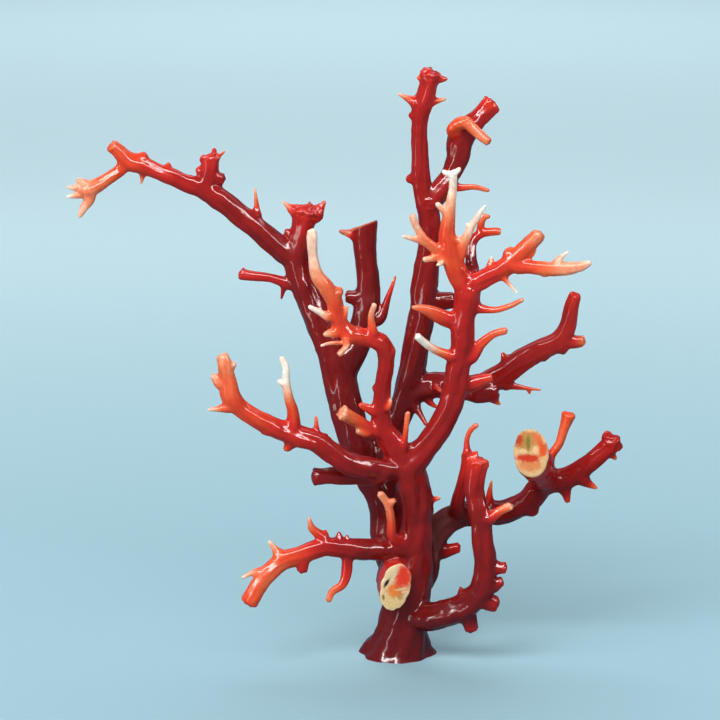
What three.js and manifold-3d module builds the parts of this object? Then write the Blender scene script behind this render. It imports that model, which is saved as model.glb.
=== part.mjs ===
// A branch of precious red coral, cut off flat at the foot and standing on the cut.
// Millimetres, +Z up, +Y away from the viewer. The middle of the foot's cut face is the origin.
import * as THREE from "three";
import { mergeVertices } from "three/addons/utils/BufferGeometryUtils.js";
import Module from "manifold-3d";

const wasm = await Module();
wasm.setup();

// Every route is written as [across, up, depth, radius].
// Across and up are read on the face that the branch shows the viewer, from the middle of the foot.
// Depth is how far the point lies behind the foot (a twig's depth counts from where it grows).
const VIEW_DISTANCE = 500;
const VIEW_PITCH = THREE.MathUtils.degToRad(10);
const VIEW_ACROSS = -8.4;
const VIEW_UP = 59;
const DEPTH_SPREAD = 1.3;

// The finish of the limbs.
const FORK_GAP = 0.3;
const BOUGH_SIDES = 8;
const BOUGH_RING = 5;
const TWIG_SIDES = 5;
const TWIG_RING = 4.2;
const ROOT_SWELL = 1.2;
const SPINE_SAMPLES = 160;
const WELD = 1e-4;
const SAW_BLOCK = 60;

const DARK_RED = { color: 0x7a1c1e, roughness: 0.32, metalness: 0 };
const CORAL_RED = { color: 0xa82422, roughness: 0.3, metalness: 0 };
const ORANGE_RED = { color: 0xd4553a, roughness: 0.34, metalness: 0 };

const coral = new THREE.Group();
coral.name = "red_coral_branch";
const grown = new Map();

// The directions of the view: along the line of sight and up the picture.
const sight = new THREE.Vector3(0, Math.cos(VIEW_PITCH), -Math.sin(VIEW_PITCH));
const pictureUp = new THREE.Vector3(0, Math.sin(VIEW_PITCH), Math.cos(VIEW_PITCH));
const eye = new THREE.Vector3(VIEW_ACROSS, 0, 0)
  .addScaledVector(pictureUp, VIEW_UP)
  .addScaledVector(sight, -VIEW_DISTANCE);

// Follows the line of sight through a picture point to the wanted depth.
function seen([across, up, depth, radius]) {
  const onPicture = new THREE.Vector3(across, 0, 0).addScaledVector(pictureUp, up);
  const reach = (depth * DEPTH_SPREAD - eye.y) / (onPicture.y - eye.y);
  return { at: onPicture.sub(eye).multiplyScalar(reach).add(eye), radius: radius * reach };
}

// A closed geometry as a solid that can be joined and cut.
function solidOf(geometry) {
  geometry.deleteAttribute("normal");
  geometry.deleteAttribute("uv");
  const welded = mergeVertices(geometry, WELD);
  const vertProperties = new Float32Array(welded.getAttribute("position").array);
  const triVerts = new Uint32Array(welded.getIndex().array);
  return new wasm.Manifold(new wasm.Mesh({ numProp: 3, vertProperties, triVerts }));
}

// The radius between the route points on either side of t.
function radiusAt(points, t) {
  const place = t * (points.length - 1);
  const before = Math.min(Math.floor(place), points.length - 2);
  return THREE.MathUtils.lerp(points[before].radius, points[before + 1].radius, place - before);
}

// A round limb along a route, tapering from point to point, with flat ends.
function limb(route, sides, ringLength, grow) {
  const points = route.map(seen);
  const spine = new THREE.CatmullRomCurve3(points.map((point) => point.at), false, "centripetal");
  const steps = Math.max(1, Math.round(spine.getLength() / ringLength));
  const frames = spine.computeFrenetFrames(steps);
  const geometry = new THREE.CylinderGeometry(1, 1, 1, sides, steps);
  const position = geometry.getAttribute("position");
  for (let i = 0; i < position.count; i += 1) {
    const ring = Math.round((position.getY(i) + 0.5) * steps);
    const radius = radiusAt(points, spine.getUtoTmapping(ring / steps)) + grow;
    const at = spine.getPointAt(ring / steps)
      .addScaledVector(frames.binormals[ring], position.getX(i) * radius)
      .addScaledVector(frames.normals[ring], position.getZ(i) * radius);
    position.setXYZ(i, at.x, at.y, at.z);
  }
  return solidOf(geometry);
}

// Sample points along a route, still in across, up and depth.
function samplesOf(route) {
  const points = route.map(([across, up, depth]) => new THREE.Vector3(across, up, depth));
  return new THREE.CatmullRomCurve3(points, false, "centripetal").getPoints(SPINE_SAMPLES);
}

// A twig's route with its root added, on the nearest spine of the bough that carries it.
function rooted(twig, spines) {
  const [across, up, , radius] = twig[0];
  const apart = (point) => Math.hypot(point.x - across, point.y - up);
  const root = spines.reduce((best, point) => (apart(point) < apart(best) ? point : best));
  const shifted = twig.map(([x, z, lean, r]) => [x, z, root.z + lean, r]);
  return [[root.x, root.y, root.z, radius * ROOT_SWELL], ...shifted];
}

// Takes off everything beyond a plane, as a saw would.
function sawn(solid, point, outward) {
  const block = new THREE.BoxGeometry(SAW_BLOCK, SAW_BLOCK, SAW_BLOCK);
  block.translate(0, 0, SAW_BLOCK / 2);
  block.applyQuaternion(new THREE.Quaternion().setFromUnitVectors(new THREE.Vector3(0, 0, 1), outward));
  block.translate(point.x, point.y, point.z);
  return solid.subtract(solidOf(block));
}

// A solid with each of its cut faces sawn, a little further out when it is grown.
function sawnAt(solid, cuts, grow) {
  let left = solid;
  for (const { face, facing } of cuts) {
    const outward = new THREE.Vector3(...facing).normalize();
    left = sawn(left, seen([...face, 1]).at.addScaledVector(outward, grow), outward);
  }
  return left;
}

// The limbs of one bough joined: main route, cut-off stubs, then twigs.
function joined({ route, cuts = [], stubs = [], twigs = [] }, grow) {
  const spines = samplesOf(route);
  let solid = sawnAt(limb(route, BOUGH_SIDES, BOUGH_RING, grow), cuts, grow);
  for (const stub of stubs) {
    const thick = stub.routes.map((one) => limb(one, BOUGH_SIDES, BOUGH_RING, grow));
    solid = solid.add(sawnAt(thick.reduce((a, b) => a.add(b)), [stub], grow));
  }
  for (const twig of twigs) {
    const full = rooted(twig, spines);
    solid = solid.add(limb(full, TWIG_SIDES, TWIG_RING, grow));
    spines.push(...samplesOf(full));
  }
  return solid;
}

// The largest body of a solid, so that no crumb is left at a fork.
function mainBody(solid) {
  return solid.decompose().reduce((a, b) => (a.volume() > b.volume() ? a : b));
}

// A solid as a named mesh with a material of its own.
function addMesh(name, solid, finish) {
  const { vertProperties, triVerts } = solid.getMesh();
  const geometry = new THREE.BufferGeometry();
  geometry.setAttribute("position", new THREE.BufferAttribute(vertProperties, 3));
  geometry.setIndex(new THREE.BufferAttribute(triVerts, 1));
  geometry.computeVertexNormals();
  const mesh = new THREE.Mesh(geometry, new THREE.MeshStandardMaterial(finish));
  mesh.name = name;
  coral.add(mesh);
}

// One bough: its limbs joined, parted by a fine gap from the boughs it grows from or lies against.
function bough(name, finish, { clear = [], ...shape }) {
  let solid = joined(shape, 0);
  for (const other of clear) {
    solid = solid.subtract(grown.get(other));
  }
  grown.set(name, joined(shape, FORK_GAP));
  const floor = new THREE.Vector3(0, 0, 0);
  addMesh(name, mainBody(sawn(solid, floor, new THREE.Vector3(0, 0, -1))), finish);
}

// Trunk: the spreading foot, the column above it and the cut knob that faces the viewer.
bough("trunk", CORAL_RED, {
  route: [
    [-0.6, -4, 0.8, 9.2], [-0.6, 0, 0.8, 7.8], [-0.3, 2.2, 0.5, 5.9], [0.2, 5, 0.2, 4.9], [1.2, 11, 0, 4.5],
    [2, 17, 0, 4.0], [2.6, 22, -0.2, 3.4], [2.8, 27, -0.5, 3.1], [2.8, 31, -1, 3.2], [1.6, 35, -1.5, 3.7],
    [0.4, 40, -2, 3.3],
  ],
  stubs: [{
    routes: [
      [[-1.8, 17.8, -0.5, 2.4], [-1, 17, -3.5, 2.5], [0.45, 14.5, -9, 2.7]],
      [[-2.4, 16.4, -0.5, 2.5], [-1.6, 15, -3.5, 2.7], [-0.28, 12.2, -9, 2.8]],
      [[-2.8, 15, -0.5, 2.5], [-2.3, 12.9, -3.5, 2.6], [-0.92, 9.9, -9, 2.7]],
    ],
    face: [-1.4, 13.6, -6.4],
    facing: [0.16, -1, 0.06],
  }],
  twigs: [
    [[-1.8, 23.4, -3, 1.0], [-2.2, 27, -4, 0.9], [-2.8, 30, -4.5, 0.9], [-4.6, 32.6, -5, 0.8]],
    [[-2.2, 30.4, -0.2, 0.6], [-1.4, 31.2, -0.5, 0.6]],
    [[5.2, 31, 0, 0.8], [7.8, 31.4, 0, 0.3]],
    [[0.4, 42, -1.6, 0.8], [0.8, 45, -2.2, 0.7], [1.2, 48.8, -2.6, 0.6]],
  ],
});

// Left stem: rises behind the trunk to a flared cut top.
bough("left_stem", DARK_RED, {
  clear: ["trunk"],
  route: [
    [-1.0, 14, 1, 2.8], [-2.8, 23, 4, 3.2], [-3.9, 30, 5, 3.2], [-6.8, 36, 5.5, 3.0], [-9, 42, 6, 3.2],
    [-11.4, 51, 6.5, 3.2], [-12.4, 55.4, 7, 3.4], [-14, 60, 7, 3.0], [-16.8, 67, 7.5, 2.8],
    [-18.2, 70.6, 8, 2.8], [-19.8, 74, 8, 2.5], [-21, 78, 8.5, 2.6], [-20.6, 82.4, 8.5, 2.3],
    [-19.8, 85.8, 8.5, 2.2], [-19.4, 88, 8.5, 2.6], [-19, 90, 8.5, 3.2],
  ],
  twigs: [
    [[-22.4, 74.4, 0, 1.0], [-26.4, 75.4, 0, 0.9], [-31.4, 76, 0, 1.1], [-32.6, 76.4, 0, 1.3]],
    [[-23.6, 73.6, 0, 0.6], [-24.2, 71, 0, 0.2]],
    [[-16.6, 61, 0, 0.7], [-17.6, 61.4, 0, 0.3]],
    [[-21.6, 89, 0, 0.8], [-24, 90.8, 0, 0.2]],
    [[-17.2, 89.4, 0, 0.9], [-15.4, 91, 0, 0.3]],
    [[-17.6, 87.4, 0, 1.2], [-15.9, 87.6, 0, 0.8]],
    [[-22.2, 84, 0, 0.8], [-23.4, 85.2, 0, 0.4]],
  ],
});

// Far left arm: the long reach to the left, ending in a paddle with fingers.
bough("far_left_arm", DARK_RED, {
  clear: ["left_stem"],
  route: [
    [-21, 78.6, 8.5, 2.2], [-23.8, 81, 8.5, 2.3], [-28, 84.6, 8, 2.2], [-32.4, 88.2, 8, 2.2],
    [-36.4, 91.2, 7.5, 2.2], [-39.8, 93.2, 7.5, 2.0], [-44.4, 94.9, 7, 1.7], [-48.4, 96.5, 6.5, 1.6],
    [-52.4, 98.2, 6, 1.8], [-54.8, 98.8, 6, 1.8], [-56.8, 100.8, 5.5, 1.4], [-58.4, 102, 5, 1.2],
  ],
  twigs: [
    [
      [-56.4, 97, 0, 1.2], [-58, 95.8, -0.5, 1.2], [-60.4, 94.2, -1, 1.3], [-62.8, 93, -1.5, 1.5],
      [-64, 92.8, -1.6, 1.2],
    ],
    [[-63.4, 94.2, 0, 0.9], [-65.2, 95, 0, 0.5]],
    [[-64.4, 93.2, 0, 0.8], [-67.2, 93.6, -0.4, 0.3]],
    [[-64.2, 92.2, 0, 0.8], [-67.2, 91.6, -0.4, 0.3]],
    [[-62.4, 91.4, 0, 1.0], [-64.4, 87.6, -0.4, 0.4]],
    [[-29.2, 88, 0, 0.7], [-29.4, 93.6, 0, 0.2]],
    [[-51.8, 96.2, 0, 0.5], [-52.2, 94, 0, 0.2]],
    [[-51.8, 99.6, 0, 0.8], [-51.6, 100.6, 0, 0.5]],
    [[-46.8, 97.8, 0, 0.5], [-46.6, 98.6, 0, 0.3]],
    [[-38.8, 95, 0, 1.8], [-38.4, 98, 0, 1.8], [-38.2, 100.2, 0, 2.0]],
    [[-37.6, 100, 0, 0.6], [-37.6, 101.8, 0, 0.2]],
    [[-36.8, 99.8, 0, 0.6], [-35.2, 101, 0, 0.2]],
    [[-39.6, 99.2, 0, 0.7], [-40.4, 99.6, 0, 0.4]],
    [[-40.2, 96.8, 0, 0.8], [-41.2, 97.4, 0, 0.5]],
    [[-35.4, 95, 0, 1.2]],
  ],
});

// Middle stem: leaves the left stem at its thickest fork and ends in a slanting cut.
bough("middle_stem", DARK_RED, {
  clear: ["left_stem"],
  route: [
    [-12.2, 55, 7, 2.6], [-10.4, 59, 7, 2.8], [-8.4, 64, 7.5, 2.6], [-7, 70, 8, 2.5],
    [-6.8, 75, 8.5, 2.2], [-7.2, 80, 8.5, 2.2], [-7.5, 84.4, 8.5, 2.4], [-7.4, 88.4, 8.5, 2.7],
  ],
  cuts: [{ face: [-7.4, 86, 8.5], facing: [-0.37, 0.2, 0.93] }],
  twigs: [
    [[-9.6, 84.2, 0, 1.0], [-12.6, 84.6, 0, 0.6]],
    [[-8.8, 71.4, 0, 1.2], [-11.4, 71.8, 0, 1.1]],
    [[-4.6, 67.4, -0.5, 1.1], [-2.6, 72, -0.5, 0.6], [-1.2, 76, -0.5, 0.2]],
  ],
});

// Centre stem: leaves the left stem low down, behind the trunk, and stands tallest.
bough("centre_stem", DARK_RED, {
  clear: ["left_stem", "trunk"],
  route: [
    [-4.2, 30, 5, 2.4], [-2.2, 38, 6.2, 2.4], [-1.4, 46, 6.5, 2.4], [0.6, 51.4, 7, 2.6], [2.2, 58, 7, 2.6],
    [3.2, 64, 7, 2.6], [4.2, 69, 7, 2.6], [4.4, 73, 7, 2.6], [5, 77.4, 7, 2.5], [5.4, 82, 7, 2.1],
    [5.6, 86, 6.5, 2.2], [5, 90.4, 6, 2.2],
  ],
  twigs: [
    [[7, 70.6, 0, 1.7], [10.8, 71, 0, 1.6]],
  ],
});

// Centre tip: the highest point of the branch.
bough("centre_tip", DARK_RED, {
  clear: ["centre_stem"],
  route: [
    [4.8, 90, 6, 2.0], [3.8, 94, 6, 1.9], [3.6, 99, 5.5, 1.6], [3.4, 104, 5, 1.6], [3.6, 108, 4.5, 1.7],
    [4.4, 111, 4, 1.9], [5.2, 114, 3.5, 1.8], [5.8, 116.4, 3, 1.9],
  ],
  twigs: [
    [[5, 116.2, 0, 0.9], [4.4, 117.4, 0, 0.5]],
    [[7.2, 115.2, 0, 0.7], [9.2, 115.2, 0, 0.3]],
    [[3.6, 115.4, 0, 0.6], [2.8, 115.6, 0, 0.3]],
    [[2.2, 110.8, 0, 0.8], [-1, 112.4, 0, 0.2]],
    [[6, 110.8, 0, 0.7], [9, 111.2, 0, 0.25]],
    [[1.2, 108, 0, 0.4]],
    [[2.2, 95.2, 0, 0.8], [0.8, 95.2, 0, 0.6]],
  ],
});

// Upper right tip: the other half of the top fork, with a twig curling over its front.
bough("upper_right_tip", DARK_RED, {
  clear: ["centre_stem", "centre_tip"],
  route: [
    [5.4, 89.6, 6, 2.0], [8, 93.4, 6.5, 2.0], [10.2, 96.8, 7, 2.0], [11.4, 100, 7.5, 2.2],
    [11.7, 103, 8, 2.6], [13.2, 105.4, 8, 2.3], [15.4, 107.8, 8.5, 1.8], [17.2, 109.8, 9, 1.8],
    [20, 112.8, 9.2, 1.8],
  ],
  cuts: [{ face: [17.8, 111, 9], facing: [0.3, 0.22, 1] }],
  twigs: [
    [
      [10, 105, -2, 1.0], [12, 106.6, -2.5, 1.2], [14, 105.4, -3, 1.2], [16, 103.6, -3.5, 1.0],
      [17.6, 102.4, -4, 0.8],
    ],
    [[11, 93.6, 0, 0.7], [14.6, 93.6, 0, 0.6], [17.6, 92.8, 0, 0.4]],
  ],
});

// Right arm: leaves the centre stem, passes behind the front right stem and turns up at its end.
bough("right_arm", DARK_RED, {
  clear: ["centre_stem"],
  route: [
    [0.8, 51.6, 7, 2.3], [5.6, 53.8, 7, 2.6], [10, 53.8, 6.5, 2.6], [14.6, 54, 6, 2.4],
    [18.6, 56.2, 5.5, 2.4], [21.6, 58.2, 5, 2.3], [24.6, 59.8, 4.5, 2.1], [28, 61.2, 4, 2.0],
    [31.2, 62.8, 3.5, 2.0], [33, 65.4, 3, 1.7], [33.8, 69, 2.5, 1.5], [34.8, 72.4, 2, 1.1],
  ],
  twigs: [
    [[33, 62.8, 0, 1.3], [36.6, 62.8, 0, 1.1]],
    [[32, 61.2, 0, 0.9], [32.4, 60.2, 0, 0.6]],
    [[28.2, 59.8, 0, 0.9], [28.2, 58.8, 0, 0.6]],
    [[20.6, 59.4, 0, 0.6], [20, 60.6, 0, 0.3]],
    [[14.4, 52.6, -1, 1.8], [18.8, 52.2, -1.5, 1.4]],
    [[18.6, 51, 0, 0.6], [19.8, 50, 0, 0.25]],
    [[20.6, 54.4, 0, 0.8], [24.6, 53.4, -0.5, 0.5], [28, 53, -1, 0.2]],
    [[25.4, 52.8, 0, 0.4], [25.6, 52, 0, 0.25]],
    [[7, 53.4, -2.4, 0.5], [8.4, 52.4, -3.4, 0.3]],
    [[5.6, 50.6, -1, 0.6], [7.2, 49.4, -1.5, 0.3]],
    [[2.4, 50, -1, 1.0], [3.6, 48.2, -2, 0.6], [5, 45.8, -3, 0.4]],
  ],
});

// Front left stem: the orange stem that steps to the left and thins to a pale tip.
bough("front_left_stem", ORANGE_RED, {
  clear: ["trunk"],
  route: [
    [-0.2, 39.6, -2, 2.3], [-2.8, 46, -3, 2.3], [-3.8, 51, -4, 1.9], [-3.6, 55.4, -5, 1.7],
    [-3.2, 59.6, -6, 1.7], [-4.4, 62.4, -7, 1.8], [-8, 63.6, -8, 1.8], [-11, 64.4, -9, 2.0],
    [-12.8, 67.4, -9.5, 1.8], [-13.6, 71, -10, 1.7], [-15.2, 73.6, -10.5, 1.7], [-17, 76, -11, 1.3],
    [-17.8, 80, -11.5, 0.9], [-18, 83.6, -12, 1.1], [-18, 85.2, -12, 0.8],
  ],
  twigs: [
    [[-12.6, 72.8, 0, 0.9], [-12, 73.4, 0, 0.5]],
    [[-14.8, 67.8, -0.5, 0.8], [-16.8, 68.8, -1, 0.7], [-18.8, 69.8, -1.5, 0.7]],
    [[-13.4, 64.6, -0.5, 1.0], [-15.8, 64, -1, 0.4]],
    [[-11.4, 62.6, -1.5, 0.5], [-14.2, 62.4, -2, 0.4], [-16.4, 61.8, -2.5, 0.3]],
    [[-11, 62, -1, 0.8], [-12.8, 59.8, -2, 0.7]],
    [[-11.6, 67.4, -0.5, 0.5], [-10.8, 70.2, -1, 0.4]],
    [[-6, 65, -0.5, 0.9], [-6.2, 67.8, -1, 0.75], [-5.4, 70.4, -1.5, 0.6]],
    [[-2, 60.6, 0, 0.8], [-1.2, 60.6, 0, 0.4]],
    [[-5.2, 53.4, 0, 0.5], [-6, 53.8, 0, 0.3]],
    [[-5, 48.6, -0.5, 1.2], [-8.6, 50.2, -1.5, 0.6]],
    [[-2.8, 49.2, -1.4, 0.7], [-2.2, 50.8, -1.8, 0.5]],
  ],
});

// Front left spur: the blunt twig at the foot of the front left stem.
bough("front_left_spur", ORANGE_RED, {
  clear: ["front_left_stem", "trunk"],
  route: [
    [-2.6, 44.2, -3, 1.4], [-6, 45, -4, 1.3], [-9.4, 47, -5.5, 1.2], [-12.4, 48.6, -7, 1.4],
  ],
  twigs: [
    [[-7, 44.4, -0.6, 0.8], [-9.2, 45, -1.4, 0.7]],
  ],
});

// Front right stem: climbs from the trunk's fork in front of the right arm.
bough("front_right_stem", CORAL_RED, {
  clear: ["trunk", "front_left_stem"],
  route: [
    [0.4, 39, -2, 2.7], [4.8, 42.4, -2.5, 2.5], [7.7, 45.8, -3, 2.4], [9.7, 50.2, -3.5, 2.4],
    [10.8, 55.4, -4, 2.4], [11.8, 61, -4.5, 2.2], [12, 66, -5, 2.4], [13, 71, -5.5, 2.4],
    [13.2, 74.4, -6, 2.3],
  ],
  twigs: [
    [[10, 67, 0, 1.6], [6.8, 68.2, -1, 1.5], [4.4, 69.2, -2, 1.0], [1.8, 69.6, -2.5, 0.3]],
    [[10, 59.8, -1, 0.9], [6.8, 61, -2, 0.9], [4.6, 62.4, -3, 0.8], [2.8, 64, -4, 0.8]],
    [[14.8, 69.4, 0, 0.8], [18.6, 69, -0.5, 0.7], [21.6, 69.8, -1, 0.6], [24.4, 71.2, -1.5, 0.45]],
    [[12.8, 54.2, 0.6, 1.6], [15.6, 54.9, 0.6, 1.4], [18.2, 55.8, 0.6, 0.8]],
    [[13.6, 59.6, 0, 1.2], [16, 62.4, -0.5, 1.0], [18.4, 64.2, -1, 0.8], [21.2, 65, -1.5, 0.8]],
  ],
});

// Front tip: the spray of orange and white twigs above the front right stem.
bough("front_tip", ORANGE_RED, {
  clear: ["front_right_stem"],
  route: [
    [12.6, 73.6, -6, 2.0], [10.6, 77.4, -6.5, 2.2], [9.6, 80.6, -7, 2.0], [9, 83.8, -7.5, 1.6],
    [9.4, 87.4, -8, 1.3], [9.8, 90.4, -8.5, 1.0], [10.2, 93.4, -8.5, 0.75], [10.2, 96.2, -9, 0.85],
  ],
  twigs: [
    [[9.4, 96.2, 0, 0.7], [8, 96.8, 0, 0.5]],
    [[10.6, 96.4, 0, 0.7], [11.8, 97.4, 0, 0.5]],
    [[8.2, 80.6, 0, 1.2], [5.2, 82.4, -1, 1.0], [3.2, 85, -1.5, 0.8], [1.8, 88.2, -2, 0.75]],
    [[5.2, 82.3, 0, 0.9], [2.6, 83.2, -0.5, 0.7], [0, 83.8, -1, 0.35]],
    [[7.6, 79.8, -0.5, 0.8], [4, 79, -1, 0.6]],
    [[8, 78.4, -0.5, 0.5], [6.8, 78, -1, 0.35]],
    [[9, 88.4, 0, 0.8], [6.8, 90.4, -0.5, 0.5]],
    [[10.6, 82.8, 0, 0.6], [11.4, 83.8, 0, 0.3]],
    [
      [11.2, 79.8, 0, 1.2], [12.4, 82.6, -0.5, 1.0], [14, 85.8, -1, 0.8], [15.6, 88.4, -1.5, 0.6],
      [16.8, 90, -2, 0.3],
    ],
    [[13.6, 85.6, 0, 0.5], [12.6, 86.4, 0, 0.25]],
    [
      [14, 76.4, 2.4, 1.3], [13.8, 79.4, 3.6, 1.1], [14, 82.4, 4.4, 1.0], [15.6, 84.2, 5, 1.0],
      [19.8, 84.8, 5.4, 0.8],
    ],
    [[15.6, 85, 0, 0.8], [16, 87, 0, 0.8], [16.4, 88.6, 0, 0.6]],
    [[16.6, 87.6, 0, 0.5], [17.8, 87.8, 0, 0.4]],
  ],
});

// Right front tip: the shorter half of the same fork, with a long pale side twig.
bough("right_front_tip", CORAL_RED, {
  clear: ["front_right_stem", "front_tip"],
  route: [
    [13.4, 73.8, -6, 1.9], [17.2, 75.8, -6.5, 1.9], [20.6, 77.6, -7, 1.8], [23.2, 79.8, -7.5, 1.8],
    [25.6, 82.3, -8, 1.6], [27.2, 84, -8.5, 1.4], [27.7, 84.7, -8.6, 0.9],
  ],
  twigs: [
    [[21.4, 80.2, 0, 0.8], [22.4, 81.6, 0, 0.5]],
    [[17.8, 77.8, 0, 0.6], [18, 79.8, 0, 0.3]],
    [[25.4, 80.2, 0, 0.6], [26.8, 81, 0, 0.35]],
    [
      [22.8, 77.9, -0.5, 1.6], [26.6, 77.5, -1, 1.4], [30, 77.2, -1.5, 1.4], [33.4, 77.3, -2, 1.3],
      [36, 77.8, -2.3, 1], [38, 78.6, -2.5, 0.5],
    ],
    [[31.2, 78.8, 0, 0.6], [33.4, 80.8, 0, 0.25]],
    [[28.6, 76.8, 0, 0.7], [29, 75.6, 0, 0.5]],
    [[20.6, 75.2, -0.5, 0.45], [23.2, 72.2, -1.5, 0.2]],
  ],
});

// Left arm: leaves the top of the trunk to the left and turns up, over a straight cut-off stub.
bough("left_arm", CORAL_RED, {
  clear: ["trunk", "front_left_stem", "front_left_spur", "left_stem"],
  route: [
    [0.4, 36.8, -2, 2.2], [-5.4, 37.4, -4.4, 2.0], [-10, 38.2, -6, 2.2], [-14, 40.6, -7, 2.4],
    [-17.4, 42.8, -8, 2.2], [-21.2, 43.8, -9, 2.1], [-25.4, 45.4, -10, 1.9], [-29.4, 47.4, -11, 1.8],
    [-32.4, 49.4, -11.5, 1.8], [-34.2, 51.8, -12, 1.9], [-34.8, 55, -12, 1.7], [-35.4, 58, -12.5, 1.4],
    [-36, 60.2, -12.5, 1.1],
  ],
  twigs: [
    [[-34.8, 49.6, 0, 0.9], [-39, 49, -0.5, 0.25]],
    [[-36.4, 54.4, 0, 0.8], [-38, 56.2, 0, 0.6]],
    [[-34.2, 57.8, 0, 0.6], [-33.2, 58.6, 0, 0.4]],
    [
      [-21.8, 45.4, 0, 1.3], [-21.8, 48.6, -0.5, 1.1], [-22.6, 51.4, -1, 1.0], [-23.2, 55, -1.5, 0.9],
      [-23.2, 57.4, -2, 0.8], [-24.2, 59.8, -2, 0.6],
    ],
    [[-23.8, 54.4, 0, 0.5], [-25, 55, 0, 0.35]],
    [[-17.2, 44.6, 0, 0.5], [-17.2, 48, 0, 0.3]],
    [[-15.8, 42.8, 0, 1.3], [-15.2, 43.8, 0, 0.7]],
    [[-22.4, 42.2, 0, 0.8], [-23.4, 40.8, 0, 0.6]],
    [[-27.2, 44.8, 0, 0.9], [-27.6, 44, 0, 0.6]],
    [[-4, 35.9, 0.4, 1.8], [-9.4, 35.8, 0.2, 1.7], [-18, 35.8, -0.4, 1.7]],
  ],
});

// Low left arm: leaves the trunk half way up, runs level and droops to a blunt end.
bough("low_left_arm", CORAL_RED, {
  clear: ["trunk", "left_stem"],
  route: [
    [1.2, 21, -0.8, 2.1], [-6.4, 21, -3.2, 2.1], [-11.4, 21.4, -4.5, 2.0], [-16, 21.6, -5.5, 1.9],
    [-20.4, 20, -6.5, 1.8], [-23.8, 18.8, -7, 1.8], [-26.4, 16.8, -8, 1.8], [-28.6, 13.8, -8.5, 1.7],
    [-30.8, 10.2, -9, 1.6],
  ],
  twigs: [
    [[-24.8, 20.4, 0, 0.8], [-26.8, 23, 0, 0.25]],
    [[-16, 23.4, 0, 1.0], [-18, 25.4, -0.5, 0.8], [-18.6, 27.6, -1, 0.3]],
    [[-15.2, 23.4, 0, 0.6], [-15.4, 25.2, 0, 0.3]],
    [[-12.6, 23.2, 0, 0.6], [-12.6, 24.8, 0, 0.3]],
    [[-11, 23, 0, 0.6], [-11, 24.2, 0, 0.3]],
    [[-20, 18.6, 0, 1.2], [-20, 16.4, 0, 1.0]],
    [[-28.8, 16.6, 0, 0.6], [-32.2, 15.4, 0, 0.35]],
  ],
});

// Low left twig: hangs from the low left arm.
bough("low_left_twig", CORAL_RED, {
  clear: ["low_left_arm"],
  route: [
    [-11, 21.2, -4.5, 1.2], [-11, 18.6, -4.6, 1.1], [-11.2, 16, -5, 1.0], [-12, 14, -5.5, 0.8],
    [-14, 12.6, -5.5, 0.7], [-14.8, 10.6, -6, 0.5],
  ],
});

// Low right stem: leaves the foot to the right, then stands up to a flared cut top.
bough("low_right_stem", CORAL_RED, {
  clear: ["trunk"],
  route: [
    [1, 7.6, -1, 2.9], [7.6, 8, -4, 2.8], [12.6, 10, -6, 2.6], [16, 13.4, -7.5, 2.4], [16.6, 18, -8, 2.2],
    [16.2, 23, -8, 2.1], [15.6, 28, -8, 2.1], [14.4, 33, -7.5, 1.8], [14.8, 37, -7, 2.1],
    [15.2, 39.6, -7, 2.6],
  ],
  twigs: [
    [[13.4, 39.8, 0, 0.6], [13, 43, 0, 0.55], [13.8, 45, 0, 0.55], [15.2, 46.2, 0, 0.6]],
    [[17.6, 17.4, 0, 1.2], [21, 17.4, 0, 1.0]],
    [[17.6, 13.6, 0, 1.0], [20.2, 15, 0, 0.9]],
    [[16.6, 11, 0, 1.7], [19.2, 10, 0, 1.4]],
    [[13.2, 7.4, 0, 1.3], [14, 4.6, 0, 1.2]],
    [[11.8, 11.6, 0, 0.5], [11.8, 13.8, 0, 0.3]],
    [[16.8, 27, -0.5, 1.0], [19.6, 28.8, -1.5, 0.9], [22, 30, -2, 0.9]],
  ],
});

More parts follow.
